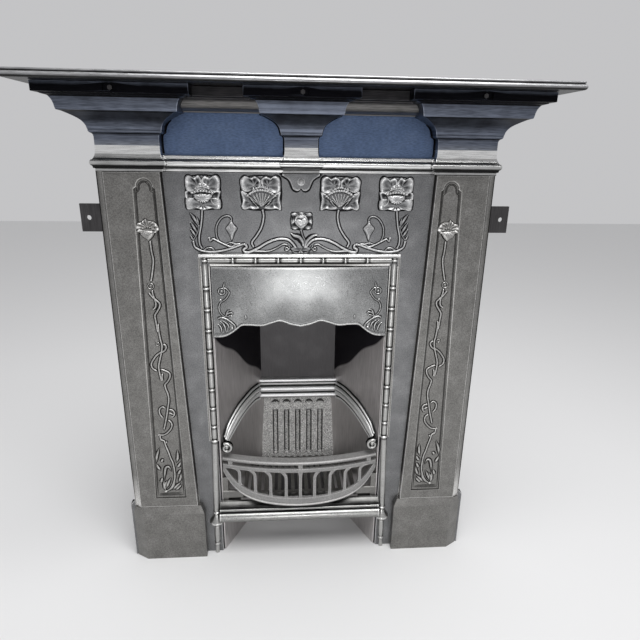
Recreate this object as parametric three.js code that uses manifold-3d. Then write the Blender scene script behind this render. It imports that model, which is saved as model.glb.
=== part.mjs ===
// A cast iron combination fireplace: mantel, surround and register grate, as one bolted assembly.
// Millimetres. X runs to the viewer's right, Z is up from the floor, and the front faces -Y.
// While it is built, Y = 0 is the front of the main plate; the finished group is then shifted so
// that the middle of its depth lies on Y = 0.
import * as THREE from 'three';
import { mergeVertices } from 'three/addons/utils/BufferGeometryUtils.js';
import Module from 'manifold-3d';

const wasm = await Module();
wasm.setup();

// ---------------------------------------------------------------- driving dimensions

const GAP = 0.3;                   // between castings that touch
const RUN = 2;                     // round the pieces that lift out

// heights, stacked from the floor
const PLATE_HEIGHT = 928;          // floor to the underside of the nosing
const FRIEZE_HEIGHT = 150;         // nosing, frieze and corbels
const SHELF_THICKNESS = 15;
const OPENING_HEIGHT = 739;
const PLINTH_HEIGHT = 149;
const PLINTH_SPLAY_HEIGHT = 19;    // sloping top of the plinth
const GRATE_HEIGHT = 160;          // top of the bars that carry the fire
const BASKET_HEIGHT = 270;         // top of the bowed front bar
const BACK_LEDGE_HEIGHT = 383;     // top of the moulded ledge over the brick
const LEDGE_BAND = 50;             // height of that ledge's three ridges
const SCROLL_RISE = 28;            // of the cheek scrolls' middles above the basket

// widths
const PLATE_WIDTH = 800;
const FOOT_WIDTH = 822;            // the plate's edge spreads at the plinths
const OPENING_WIDTH = 388;
const SHELF_WIDTH = 988;
const CORBEL_NECK_WIDTH = 65;
const END_NECK_WIDTH = 120;        // necks of the two outer corbels
const CORBEL_PROJECTION = 72;      // of the fascia beyond the neck, to the front and both sides
const SHELF_OVERHANG = 34;         // of the shelf beyond the corbels, to the front and both ends
const PILASTER_OUTER = 384;        // outer edge of the pilaster's flat face
const PILASTER_TOP_WIDTH = 109;
const PILASTER_FOOT_WIDTH = 136;
const PILASTER_CHAMFER = 13;
const PLINTH_OUTER = 378;
const PLINTH_INSET = 24.5;         // plain strip between a bamboo post's foot and its plinth
const PLINTH_CHAMFER = 27;
const POST_SPACING = 400;          // centre to centre of the bamboo posts
const POST_FOOT_SPLAY = 8.5;       // how far each post's foot stands out
const CHEEK_BACK_WIDTH = 196;      // between the cheeks at the upper back panel
const FLOWER_INNER_X = 80.5;       // middles of the carved flowers
const FLOWER_OUTER_X = 196;
const FLOWER_DROP = 38.5;          // their middles below the nosing
const FLOWER_INNER_WIDTH = 66;
const FLOWER_OUTER_WIDTH = 59;
const SMALL_FLOWER_DROP = 94;      // of the small flower at the middle
const SMALL_FLOWER_WIDTH = 30;

// depths, from the main plate's front
const PLATE_THICKNESS = 6;
const WALL_LINE = 20;              // the turned back edges end here, against the wall
const NECK_REACH = 24;
const CORNICE_REACH = 60;
const PILASTER_RISE = 12;
const PLINTH_RISE = 18;
const TONGUE_RISE = 13;
const RAIL_REACH = 22;
const PANEL_DEPTH = 196;           // front of the upper back panel
const CHAMBER_DEPTH = 236;         // front of the rear plate
const BASKET_REACH = 26;           // the bowed bars at their middle
const BASKET_BOW = 31;             // how far the middle stands out from the ends

// walls and sections
const CHEEK_THICKNESS = 6;
const REAR_THICKNESS = 6;
const BACK_PANEL_THICKNESS = 6;
const FRIEZE_THICKNESS = 6;
const CORBEL_WALL = 6;
const PILASTER_WALL = 5;
const HOOD_THICKNESS = 5;
const HOOD_BULGE = 12;
const HOOD_HEIGHT = 137;           // of the hood at its middle
const HOOD_CLEARANCE = 1.5;
const LIP_WIDTH = 4;               // plain lip of the bamboo castings inside the opening's edge
const REGISTER_THICKNESS = 6;
const SCROLL_RADIUS = 13;
const POST_RADIUS = 5;
const KNOT_RADIUS = 7;
const KNOT_PITCH = 47.17;          // between the bamboo's knots, upright and across
const FIRST_KNOT = 361.2;          // height of the lowest knot
const KNOTS = 8;
const TOP_KNOTS = 7;
const BAND_HEIGHT = 22;            // of the crescent under the spindles
const SPINDLES = 9;
const SPINDLE_PITCH = 37.2;
const SPINDLE_WIDTH = 8;
const GRATE_BARS = 17;
const GRATE_BAR_PITCH = 17;
const GRATE_BAR_WIDTH = 9;
const GRATE_BAR_HEIGHT = 12;
const GRATE_CROSS_DROP = 4;        // how far the grate's cross bars hang below its bars
const GRATE_FRONT = 14;
const GRATE_DEPTH = 160;
const REST_LENGTH = 52;            // of the grate's rests, in from the cheeks' front edges
const SHELF_LAP = 12;              // of the rear shelf under the grate
const SHELF_RIB = 8;
const PORT_WIDTH = 170;            // throat through the register plate
const PORT_DEPTH = 90;
const PORT_FRONT = 60;
const COLLAR_HEIGHT = 20;
const COLLAR_WALL = 6;
const FLAP_THICKNESS = 4;
const FLAP_OVERLAP = 5;
const HOOK_SETBACK = 34;           // from the port's front edge
const PIN_RADIUS = 3;
const LUG_WIDTH = 44;
const LUG_HEIGHT = 56;
const LUG_HOLE_RADIUS = 5;
const LUG_DROP = 120;              // foot of the lugs below the nosing
const LOW_BOLT_HEIGHT = 90;        // of the lower bolts behind the cheeks
const HIGH_BOLT_DROP = 55;         // of the upper bolts below the top of the cheeks
const SCREW_RADIUS = 2.5;

// ---------------------------------------------------------------- worked out from them

const FRIEZE_TOP = PLATE_HEIGHT + FRIEZE_HEIGHT;
const SHELF_REACH = NECK_REACH + CORBEL_PROJECTION + SHELF_OVERHANG;
const END_NECK_CENTRE = SHELF_WIDTH / 2 - SHELF_OVERHANG - CORBEL_PROJECTION - END_NECK_WIDTH / 2;
const OPENING_HALF = OPENING_WIDTH / 2;
const POST_X = POST_SPACING / 2;
const CHEEK_FRONT_HALF = OPENING_HALF - 2;
const CHEEK_SPLAY = (CHEEK_FRONT_HALF - CHEEK_BACK_WIDTH / 2) / PANEL_DEPTH;
const cheekHalf = (y) => CHEEK_FRONT_HALF - CHEEK_SPLAY * y;
const grateFoot = GRATE_HEIGHT - GRATE_BAR_HEIGHT - GRATE_CROSS_DROP;

// ---------------------------------------------------------------- solids

// A closed solid from any closed three.js geometry.
function solid(geometry) {
  const bare = geometry.clone();
  bare.deleteAttribute('normal');
  bare.deleteAttribute('uv');
  const merged = mergeVertices(bare, 1e-3);
  const corners = merged.index.array;
  const triangles = [];
  for (let i = 0; i < corners.length; i += 3) {
    const [a, b, c] = [corners[i], corners[i + 1], corners[i + 2]];
    if (a !== b && b !== c && c !== a) triangles.push(a, b, c);
  }
  return new wasm.Manifold(new wasm.Mesh({
    numProp: 3,
    vertProperties: new Float32Array(merged.attributes.position.array),
    triVerts: new Uint32Array(triangles),
  }));
}

const joined = (parts) => parts.reduce((all, part) => all.add(part));

// An outline of [a, b] pairs extruded along one axis. Across X the pairs are (y, z), across Y they
// are (x, z) and across Z they are (x, y).
function prism(axis, outline, from, to) {
  const geometry = new THREE.ExtrudeGeometry(
    new THREE.Shape(outline.map(([a, b]) => new THREE.Vector2(a, b))),
    { depth: to - from, bevelEnabled: false },
  );
  const right = new THREE.Vector3(1, 0, 0);
  const front = new THREE.Vector3(0, 1, 0);
  const up = new THREE.Vector3(0, 0, 1);
  if (axis === 'x') {
    geometry.applyMatrix4(new THREE.Matrix4().makeBasis(front, up, right));
    geometry.translate(from, 0, 0);
  } else if (axis === 'y') {
    geometry.applyMatrix4(new THREE.Matrix4().makeBasis(right, up, front.negate()));
    geometry.translate(0, to, 0);
  } else {
    geometry.translate(0, 0, from);
  }
  return solid(geometry);
}

function box(x0, x1, y0, y1, z0, z1) {
  const geometry = new THREE.BoxGeometry(x1 - x0, y1 - y0, z1 - z0);
  geometry.translate((x0 + x1) / 2, (y0 + y1) / 2, (z0 + z1) / 2);
  return solid(geometry);
}

// A box cut into steps along its own length, width and height, each point then carried to
// place(u, v, w) with u, v and w from 0 to 1.
function shapedBox(steps, place) {
  const geometry = new THREE.BoxGeometry(1, 1, 1, ...steps);
  const at = geometry.attributes.position;
  for (let i = 0; i < at.count; i += 1) {
    at.setXYZ(i, ...place(at.getX(i) + 0.5, at.getY(i) + 0.5, at.getZ(i) + 0.5));
  }
  return solid(geometry);
}

// A turned piece: [radius, height] pairs spun about an upright line through (x, y).
function turned(profile, x, y, sides = 12) {
  const geometry = new THREE.LatheGeometry(profile.map(([r, h]) => new THREE.Vector2(r, h)), sides);
  geometry.rotateX(Math.PI / 2);
  geometry.translate(x, y, 0);
  return solid(geometry);
}

// The same, lying along X.
function turnedAcross(profile, y, z, sides = 12) {
  const geometry = new THREE.LatheGeometry(profile.map(([r, h]) => new THREE.Vector2(r, h)), sides);
  geometry.rotateZ(-Math.PI / 2);
  geometry.translate(0, y, z);
  return solid(geometry);
}

const mirrored = (part, side) => (side < 0 ? part.mirror([1, 0, 0]) : part);

// Points of a circular arc from one angle to another, in degrees.
function arc(centreA, centreB, radius, fromDegrees, toDegrees, steps) {
  return Array.from({ length: steps + 1 }, (_, i) => {
    const angle = THREE.MathUtils.degToRad(fromDegrees + ((toDegrees - fromDegrees) * i) / steps);
    return [centreA + radius * Math.cos(angle), centreB + radius * Math.sin(angle)];
  });
}

// A block whose moulding runs round its front and both sides with mitred corners: its side view
// carried across the width, cut by its front view carried through the depth. The moulding is
// [projection, height] pairs from the bottom up.
function mitredBlock(centreX, halfWidth, frontY, backY, moulding, baseZ) {
  const reach = Math.max(...moulding.map(([out]) => out));
  const sideView = moulding.map(([out, z]) => [frontY - out, baseZ + z]);
  sideView.push([backY, sideView.at(-1)[1]], [backY, sideView[0][1]]);
  const right = moulding.map(([out, z]) => [centreX + halfWidth + out, baseZ + z]);
  const left = moulding.map(([out, z]) => [centreX - halfWidth - out, baseZ + z]).reverse();
  const across = prism('x', sideView, centreX - halfWidth - reach - 1, centreX + halfWidth + reach + 1);
  return across.intersect(prism('y', [...right, ...left], frontY - reach - 1, backY));
}

// ---------------------------------------------------------------- shelf, corbels and frieze

function mantelShelf() {
  const roundRadius = 5;
  const fillet = 3.5;
  const edge = [
    [-6, GAP], [0, GAP],
    ...arc(0, roundRadius + GAP, roundRadius, -60, 80, 5),
    [roundRadius - fillet, 2 * roundRadius + GAP], [roundRadius - fillet, SHELF_THICKNESS],
  ];
  const half = SHELF_WIDTH / 2 - roundRadius;
  return mitredBlock(0, half, roundRadius - SHELF_REACH, WALL_LINE, edge, FRIEZE_TOP);
}

// The mitred corbel's moulding, from the nosing round its neck up to the fascia under the shelf.
function corbelMoulding(grow = 0) {
  const fascia = 17;
  const top = FRIEZE_HEIGHT;
  const p = CORBEL_PROJECTION;
  return [
    [3, 0], [3, 6], [6, 7],
    ...arc(4, 16.5, 6.5, -70, 70, 5),
    [4, 24.5], [2, 31], [0, 41],
    [0, top - 84], [3, top - 81], [6, top - 77], [7, top - 73], [10, top - 69], [13, top - 60],
    [20, top - 55], [30, top - 49], [p - 34, top - 45], [p - 28, top - 42], [p - 25, top - 33],
    [p - 24, top - 26], [p - 20, top - 22], [p - 9, top - fascia - 2], [p - 9, top - fascia],
    [p, top - fascia], [p, top],
  ].map(([out, z]) => [out + grow, z]);
}

function corbelBlock(centreX, neckWidth, grow) {
  const back = grow ? PLATE_THICKNESS : -GAP;
  return mitredBlock(centreX, neckWidth / 2, -NECK_REACH, back, corbelMoulding(grow), PLATE_HEIGHT);
}

// Each corbel is hollow behind, with a small sunk square in its fascia for a fixing screw.
const SCREW_RECESS = { width: 24, height: 11, depth: 4 };
const fasciaY = -NECK_REACH - CORBEL_PROJECTION;
const screwZ = FRIEZE_TOP - 9;

function corbel(centreX, neckWidth) {
  const wall = CORBEL_WALL;
  const flare = CORBEL_PROJECTION / 4;
  const upper = FRIEZE_TOP - 40;
  const neckHalf = neckWidth / 2;
  const hollow = box(
    centreX - neckHalf - flare, centreX + neckHalf + flare, -NECK_REACH - flare, 1, upper, FRIEZE_TOP - wall,
  );
  const neckHollow = box(
    centreX - neckHalf + wall, centreX + neckHalf - wall,
    wall - NECK_REACH, 1, PLATE_HEIGHT + wall, upper + 1,
  );
  const { width, height, depth } = SCREW_RECESS;
  const sunk = box(
    centreX - width / 2, centreX + width / 2,
    fasciaY - 1, fasciaY + depth, screwZ - height / 2, screwZ + height / 2,
  );
  const holeHalf = SCREW_RADIUS + GAP;
  const hole = box(
    centreX - holeHalf, centreX + holeHalf, fasciaY, -NECK_REACH, screwZ - holeHalf, screwZ + holeHalf,
  );
  return corbelBlock(centreX, neckWidth, 0).subtract(joined([hollow, neckHollow, sunk, hole]));
}

// The screw runs along Y, its six sided head in the recess.
function corbelScrew(centreX) {
  const [headHeight, length] = [2.5, 24];
  const headFront = fasciaY + SCREW_RECESS.depth - headHeight - GAP;
  const headRadius = SCREW_RADIUS * 1.8;
  const head = new THREE.CylinderGeometry(headRadius, headRadius, headHeight, 6);
  head.translate(0, headFront + headHeight / 2, 0);
  const shank = new THREE.CylinderGeometry(SCREW_RADIUS, SCREW_RADIUS, length, 8);
  shank.translate(0, headFront + headHeight + length / 2 - GAP, 0);
  return solid(head).add(solid(shank)).translate([centreX, 0, screwZ]);
}

const corbels = [
  ['left', -END_NECK_CENTRE, END_NECK_WIDTH],
  ['centre', 0, CORBEL_NECK_WIDTH],
  ['right', END_NECK_CENTRE, END_NECK_WIDTH],
];

const clearOfCorbels = (part) => corbels.reduce(
  (left, [, x, width]) => left.subtract(corbelBlock(x, width, GAP)), part,
);

// Set back moulding under the shelf, between two corbels.
function cornice(side) {
  const top = FRIEZE_TOP;
  const r = CORNICE_REACH;
  const view = [
    [-GAP, top], [-r, top], [-r, top - 17], [8 - r, top - 17], [10 - r, top - 20], [20 - r, top - 23],
    [23 - r, top - 30], [28 - r, top - 35], [-20, top - 38], [-8, top - 39], [-GAP, top - 41],
  ];
  const run = prism('x', view, 0, END_NECK_CENTRE);
  return mirrored(clearOfCorbels(run), side);
}

// Bright rounded nosing under the frieze, between two corbel necks.
function nosing(side) {
  const view = [
    [-GAP, 0], [-6, 0], [-6, 6], [-9, 7],
    ...arc(-11.5, 16.5, 6.5, -110, -250, 5),
    [-10, 24.5], [-4, 27.5], [-GAP, 31],
  ].map(([y, z]) => [y, PLATE_HEIGHT + z]);
  const run = prism('x', view, 0, END_NECK_CENTRE);
  return mirrored(clearOfCorbels(run), side);
}

function friezePanel() {
  const half = END_NECK_CENTRE + END_NECK_WIDTH / 2;
  return box(-half, half, 0, FRIEZE_THICKNESS, PLATE_HEIGHT + GAP, FRIEZE_TOP);
}

// Tongue under the centre corbel: ogee sides, two lobes at the foot and a round bead.
function corbelTongue() {
  const half = CORBEL_NECK_WIDTH / 2 + 5;
  const lobeRadius = 10;
  const foot = PLATE_HEIGHT - 33;
  const rightEdge = [
    [0, foot + 4],
    ...arc(lobeRadius - 1, foot + lobeRadius, lobeRadius, -110, 0, 6),
    [22, PLATE_HEIGHT - 17], [26, PLATE_HEIGHT - 11], [32, PLATE_HEIGHT - 6], [half, PLATE_HEIGHT - 3],
    [half, PLATE_HEIGHT - GAP],
  ];
  const leftEdge = rightEdge.slice(1).reverse().map(([x, z]) => [-x, z]);
  const bead = new THREE.SphereGeometry(6, 12, 8);
  bead.scale(1, 0.6, 1);
  bead.translate(0, -TONGUE_RISE, PLATE_HEIGHT - 16);
  return prism('y', [...rightEdge, ...leftEdge], -TONGUE_RISE, -GAP).add(solid(bead));
}

// ---------------------------------------------------------------- main plate and pilasters

const flowerZ = PLATE_HEIGHT - FLOWER_DROP;
const FLOWERS = [
  [-FLOWER_OUTER_X, flowerZ, FLOWER_OUTER_WIDTH],
  [-FLOWER_INNER_X, flowerZ, FLOWER_INNER_WIDTH],
  [0, PLATE_HEIGHT - SMALL_FLOWER_DROP, SMALL_FLOWER_WIDTH],
  [FLOWER_INNER_X, flowerZ, FLOWER_INNER_WIDTH],
  [FLOWER_OUTER_X, flowerZ, FLOWER_OUTER_WIDTH],
];

// The carved flowers' square blocks, each with its seed head as a low dome.
function flowerBlocks() {
  const rise = 4;
  return joined(FLOWERS.map(([x, z, width]) => {
    const half = width / 2;
    const block = box(x - half, x + half, -rise, 1, z - half, z + half);
    const dome = new THREE.SphereGeometry(half / 2, 12, 8);
    dome.scale(1, 0.5, 1);
    dome.translate(x, 1 - rise, z - half / 5);
    return block.add(solid(dome));
  }));
}

function frontPlate() {
  const half = PLATE_WIDTH / 2;
  const footHalf = FOOT_WIDTH / 2;
  const spread = 12;
  const outline = [
    [OPENING_HALF, 0], [footHalf, 0], [footHalf, PLINTH_HEIGHT], [half, PLINTH_HEIGHT + spread],
    [half, PLATE_HEIGHT], [-half, PLATE_HEIGHT], [-half, PLINTH_HEIGHT + spread],
    [-footHalf, PLINTH_HEIGHT], [-footHalf, 0], [-OPENING_HALF, 0],
    [-OPENING_HALF, OPENING_HEIGHT], [OPENING_HALF, OPENING_HEIGHT],
  ];
  const plate = prism('y', outline, 0, PLATE_THICKNESS);
  const edges = [1, -1].map((side) => mirrored(joined([
    box(half - PLATE_THICKNESS, half, 1, WALL_LINE, PLINTH_HEIGHT, PLATE_HEIGHT),
    box(half - PLATE_THICKNESS, footHalf, 1, WALL_LINE, 0, PLINTH_HEIGHT),
  ]), side));
  const topEdge = box(-half, half, 1, WALL_LINE, PLATE_HEIGHT - PLATE_THICKNESS, PLATE_HEIGHT);
  return joined([plate, ...edges, topEdge, flowerBlocks()]);
}

// Arched outline sunk into the pilaster's face, [x, z] measured from the pilaster's outer edge.
function pilasterField() {
  const outer = PILASTER_OUTER;
  const archCentre = outer - 77.5;
  const archRadius = 16;
  const shoulder = PLATE_HEIGHT - 29;
  return [
    [outer - 38, PLINTH_HEIGHT + 24], [outer - 55, shoulder],
    ...arc(archCentre, shoulder + 3, archRadius, 10, 170, 8),
    [outer - 99, shoulder], [outer - 111, PLINTH_HEIGHT + 24],
  ];
}

function pilaster(side) {
  const outer = PILASTER_OUTER;
  const frontView = [
    [outer - PILASTER_FOOT_WIDTH, PLINTH_HEIGHT + GAP], [outer + PILASTER_CHAMFER, PLINTH_HEIGHT + GAP],
    [outer + PILASTER_CHAMFER, PLATE_HEIGHT - GAP], [outer - PILASTER_TOP_WIDTH, PLATE_HEIGHT - GAP],
  ];
  const planView = [
    [outer - PILASTER_FOOT_WIDTH - 1, -PILASTER_RISE], [outer, -PILASTER_RISE],
    [outer + PILASTER_CHAMFER, -GAP - 1], [outer + PILASTER_CHAMFER, -GAP],
    [outer - PILASTER_FOOT_WIDTH - 1, -GAP],
  ];
  const body = prism('y', frontView, -PILASTER_RISE, -GAP)
    .intersect(prism('z', planView, PLINTH_HEIGHT, PLATE_HEIGHT));
  const wall = PILASTER_WALL;
  const inner = [
    [outer - PILASTER_FOOT_WIDTH + wall, PLINTH_HEIGHT + wall], [outer - wall, PLINTH_HEIGHT + wall],
    [outer - wall, PLATE_HEIGHT - wall], [outer - PILASTER_TOP_WIDTH + wall, PLATE_HEIGHT - wall],
  ];
  const hollow = prism('y', inner, wall - PILASTER_RISE, 1);
  const field = prism('y', pilasterField(), -PILASTER_RISE - 1, 1.5 - PILASTER_RISE);
  return mirrored(body.subtract(hollow).subtract(field), side);
}

function plinth(side) {
  const inner = POST_X + POST_FOOT_SPLAY + PLINTH_INSET;
  const splayZ = PLINTH_HEIGHT - PLINTH_SPLAY_HEIGHT;
  const splayX = PILASTER_OUTER - PILASTER_FOOT_WIDTH - inner - 7;
  const outer = PLINTH_OUTER + PLINTH_CHAMFER;
  const sideView = [
    [-GAP, 0], [-PLINTH_RISE, 0], [-PLINTH_RISE, splayZ], [-PILASTER_RISE, PLINTH_HEIGHT],
    [-GAP, PLINTH_HEIGHT],
  ];
  const frontView = [
    [inner, 0], [outer, 0], [outer, splayZ], [PILASTER_OUTER + PILASTER_CHAMFER, PLINTH_HEIGHT],
    [inner + splayX, PLINTH_HEIGHT], [inner, splayZ],
  ];
  const planView = [
    [inner, -PLINTH_RISE], [PLINTH_OUTER, -PLINTH_RISE], [outer, -GAP - 1], [outer, -GAP], [inner, -GAP],
  ];
  const body = prism('x', sideView, inner, outer)
    .intersect(prism('y', frontView, -PLINTH_RISE, -GAP))
    .intersect(prism('z', planView, 0, PLINTH_HEIGHT));
  const wall = PILASTER_WALL;
  const hollow = box(inner + wall, PLINTH_OUTER - wall, wall - PLINTH_RISE, 1, -1, splayZ - wall);
  return mirrored(body.subtract(hollow), side);
}

// ---------------------------------------------------------------- opening: bamboo, ledge, hood, rail

const BAMBOO_AXIS = -3;
const TOP_ROD_Z = OPENING_HEIGHT + 12.5;
const behindPlate = () => box(-POST_SPACING, POST_SPACING, -GAP, 40, -50, PLATE_HEIGHT);

// One knot and the two waisted joints beside it, as [radius, distance along the cane].
function knot(at) {
  const [r, k] = [POST_RADIUS, KNOT_RADIUS];
  return [
    [r - 1, at - KNOT_PITCH / 2], [r, at - 4], [k - 0.6, at - 2.4], [k, at], [k - 0.6, at + 2.4],
    [r, at + 4],
  ];
}

// The post from the floor: short cane, bell capital, plain strip, then the knotted cane.
function bambooPost(side) {
  const bell = { foot: 94, top: 118, radius: 13 };
  const knots = Array.from({ length: KNOTS }, (_, i) => FIRST_KNOT + i * KNOT_PITCH);
  const footKnots = [19.5, 69];
  const r = POST_RADIUS;
  const profile = [
    [0, GAP], [r, GAP],
    ...footKnots.flatMap((z) => [[r, z - 4], [KNOT_RADIUS, z], [r, z + 4]]),
    [r, bell.foot - 2], [bell.radius - 2, bell.foot - 1], [bell.radius, bell.foot + 2],
    [bell.radius - 6, bell.foot + 10], [r + 0.5, bell.top], [r + 0.5, bell.top + 8],
    [KNOT_RADIUS, bell.top + 11], [r + 1, bell.top + 14],
    [r + 1, FIRST_KNOT - 40], [KNOT_RADIUS, FIRST_KNOT - 37], [r + 0.5, FIRST_KNOT - 33],
    ...knots.flatMap(knot),
    [r - 1, TOP_ROD_Z - 28], [r, TOP_ROD_Z - 14], [KNOT_RADIUS, TOP_ROD_Z - 11],
    [KNOT_RADIUS - 1, TOP_ROD_Z - 7], [KNOT_RADIUS + 1, TOP_ROD_Z - 4], [KNOT_RADIUS + 1, TOP_ROD_Z + 4],
    [KNOT_RADIUS - 2, TOP_ROD_Z + 6.5], [0, TOP_ROD_Z + 6.5],
  ];
  const splayed = (z) => POST_X + Math.max(0, FIRST_KNOT - 30 - z) * (POST_FOOT_SPLAY / (FIRST_KNOT - 30));
  const post = turned(profile, 0, BAMBOO_AXIS)
    .warp((point) => {
      point[0] += splayed(point[2]);
    });
  const lip = box(OPENING_HALF - LIP_WIDTH, POST_X + 11, -2.3, -GAP, FIRST_KNOT - 40, OPENING_HEIGHT);
  return mirrored(post.add(lip).subtract(behindPlate()), side);
}

function bambooTop() {
  const reach = POST_X - KNOT_RADIUS - 1 - GAP;
  const first = -((TOP_KNOTS - 1) / 2) * KNOT_PITCH;
  const knots = Array.from({ length: TOP_KNOTS }, (_, i) => first + i * KNOT_PITCH);
  const r = POST_RADIUS;
  const profile = [
    [0, -reach], [KNOT_RADIUS, -reach], [KNOT_RADIUS, 4 - reach], [r, 8 - reach],
    ...knots.flatMap(knot), [r - 1, KNOT_PITCH / 2 - first],
    [r, reach - 8], [KNOT_RADIUS, reach - 4], [KNOT_RADIUS, reach], [0, reach],
  ];
  const lipHalf = OPENING_HALF - LIP_WIDTH;
  const lip = box(-lipHalf, lipHalf, -2.3, -GAP, OPENING_HEIGHT, TOP_ROD_Z);
  return turnedAcross(profile, BAMBOO_AXIS, TOP_ROD_Z).add(lip).subtract(behindPlate());
}

function openingLedge() {
  const half = POST_X + 11;
  const base = TOP_ROD_Z + KNOT_RADIUS + GAP;
  const view = [
    [-GAP, base], [-9, base], [-10, base + 1.5], [-10, base + 5], [-8, base + 7], [-GAP, base + 8],
  ];
  return prism('x', view, -half, half);
}

// Lower edge of the hood: a lobe at the middle, a hump each side of it and deep outer corners. Each
// pair is a share of the opening's half width and a share of the hood's height at its middle.
const hoodEdge = new THREE.SplineCurve([
  [0, 1], [0.114, 0.964], [0.227, 0.909], [0.33, 0.942], [0.43, 0.985], [0.567, 0.974], [0.66, 0.978],
  [0.716, 1.036], [0.784, 1.109], [0.866, 1.161], [0.99, 1.172],
].map(([out, down]) => new THREE.Vector2(
  out * OPENING_HALF, OPENING_HEIGHT - down * HOOD_HEIGHT,
))).getSpacedPoints(40);

function hoodEdgeZ(x) {
  const i = Math.max(1, hoodEdge.findIndex((point) => point.x >= Math.abs(x)));
  const [a, b] = [hoodEdge[i - 1], hoodEdge[i]];
  return THREE.MathUtils.mapLinear(Math.abs(x), a.x, b.x, a.y, b.y);
}

// The hood's front bulges most at the middle and lies flat along its top and sides.
const hoodBulge = (u, w) => HOOD_BULGE * (1 - (2 * u - 1) ** 4) * (1 - w ** 3);

function hood() {
  const half = OPENING_HALF - LIP_WIDTH - HOOD_CLEARANCE;
  const top = OPENING_HEIGHT - HOOD_CLEARANCE;
  const rim = 4;
  const point = (u, v, w, bottom) => {
    const x = half * (2 * u - 1);
    const low = hoodEdgeZ(x);
    const lift = bottom ? w * rim * 2 : rim + w * (top - low - rim);
    const share = lift / (top - low);
    const thickness = bottom ? HOOD_THICKNESS + 3 : HOOD_THICKNESS;
    const front = 1 - hoodBulge(u, share) - (bottom ? 2 : 0);
    return [x, front + v * thickness, low + lift];
  };
  const plate = shapedBox([40, 1, 5], (u, v, w) => point(u, v, w, false));
  const edge = shapedBox([40, 1, 1], (u, v, w) => point(u, v, w, true));
  const flange = { half: half - 9, back: PLATE_THICKNESS + 5, foot: top - 16, rise: 7 };
  const web = box(-flange.half, flange.half, 4, flange.back, flange.foot, top);
  const upstand = box(
    -flange.half, flange.half, PLATE_THICKNESS + GAP, flange.back, flange.foot, top + flange.rise - 2 * GAP,
  );
  return joined([plate, edge, web, upstand]);
}

// Nosed rail across the foot of the opening; its ends die into the posts' bells.
function ashRail() {
  const top = GRATE_HEIGHT - 12;
  const nose = 10;
  const view = [
    [PLATE_THICKNESS, top - 38], [-14, top - 38],
    ...arc(nose - RAIL_REACH, top - 27, nose, -100, -240, 6),
    [-13, top - 15], [-10, top - 12], [-10, top - 8], [PLATE_THICKNESS, top],
  ];
  const inside = prism('x', view, GAP - OPENING_HALF, OPENING_HALF - GAP);
  const before = prism('x', view, -POST_X - 4, POST_X + 4).subtract(behindPlate());
  const bells = [-1, 1].map((side) => turned(
    [[0, 0], [14, 0], [14, top - 27], [8, top - 18], [8, top + 40], [0, top + 40]],
    side * (POST_X + POST_FOOT_SPLAY * 0.75), BAMBOO_AXIS,
  ));
  return bells.reduce((rail, bell) => rail.subtract(bell), inside.add(before));
}

// ---------------------------------------------------------------- fire chamber

const chamberTop = OPENING_HEIGHT + 6;

// Plan of the fire chamber between the cheeks' faces, drawn in by a clearance.
function chamberPlan(inset, frontY, backY) {
  return [
    [-cheekHalf(0) + inset, frontY], [cheekHalf(0) - inset, frontY], [cheekHalf(0) - inset, 0],
    [cheekHalf(backY) - inset, backY], [inset - cheekHalf(backY), backY], [inset - cheekHalf(0), 0],
  ];
}

function cheek(side) {
  const front = PLATE_THICKNESS + GAP;
  const back = CHAMBER_DEPTH - GAP;
  const flange = 22;
  const plan = [
    [cheekHalf(front), front], [cheekHalf(front) + flange, front],
    [cheekHalf(front) + flange, front + CHEEK_THICKNESS],
    [cheekHalf(front + CHEEK_THICKNESS) + CHEEK_THICKNESS, front + CHEEK_THICKNESS],
    [cheekHalf(back) + CHEEK_THICKNESS, back], [cheekHalf(back), back],
  ];
  return mirrored(prism('z', plan, 0, chamberTop - GAP), side);
}

// Rear plate with a shelf that carries the fire brick and the back of the bottom grate.
function rearPlate() {
  const half = cheekHalf(CHAMBER_DEPTH) + CHEEK_THICKNESS;
  const plate = box(-half, half, CHAMBER_DEPTH, CHAMBER_DEPTH + REAR_THICKNESS, 0, chamberTop - GAP);
  const front = GRATE_FRONT + GRATE_DEPTH - SHELF_LAP;
  const shelf = prism('z', [
    [-cheekHalf(front) + RUN, front], [cheekHalf(front) - RUN, front],
    [cheekHalf(CHAMBER_DEPTH) - RUN, CHAMBER_DEPTH + 1], [RUN - cheekHalf(CHAMBER_DEPTH), CHAMBER_DEPTH + 1],
  ], grateFoot - GAP - SHELF_RIB, grateFoot - GAP);
  return plate.add(shelf);
}

// Plain upper back with three ridges along its foot.
function upperBackPanel() {
  const top = BACK_LEDGE_HEIGHT;
  const front = PANEL_DEPTH;
  const back = front + BACK_PANEL_THICKNESS;
  const view = [
    [back, chamberTop - GAP], [front, chamberTop - GAP], [front, top + 8],
    ...arc(front - 5, top, 5, 60, 260, 5), [front - 6, top - 12],
    ...arc(front - 11, top - 22, 5.5, 90, 270, 5), [front - 9, top - 34],
    ...arc(front - 9, top - 42, 5, 90, 270, 5), [front, top - LEDGE_BAND], [back, top - LEDGE_BAND],
  ];
  const half = cheekHalf(0);
  const between = prism('z', chamberPlan(GAP, 0, CHAMBER_DEPTH), 0, chamberTop);
  return prism('x', view, -half, half).intersect(between);
}

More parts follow.
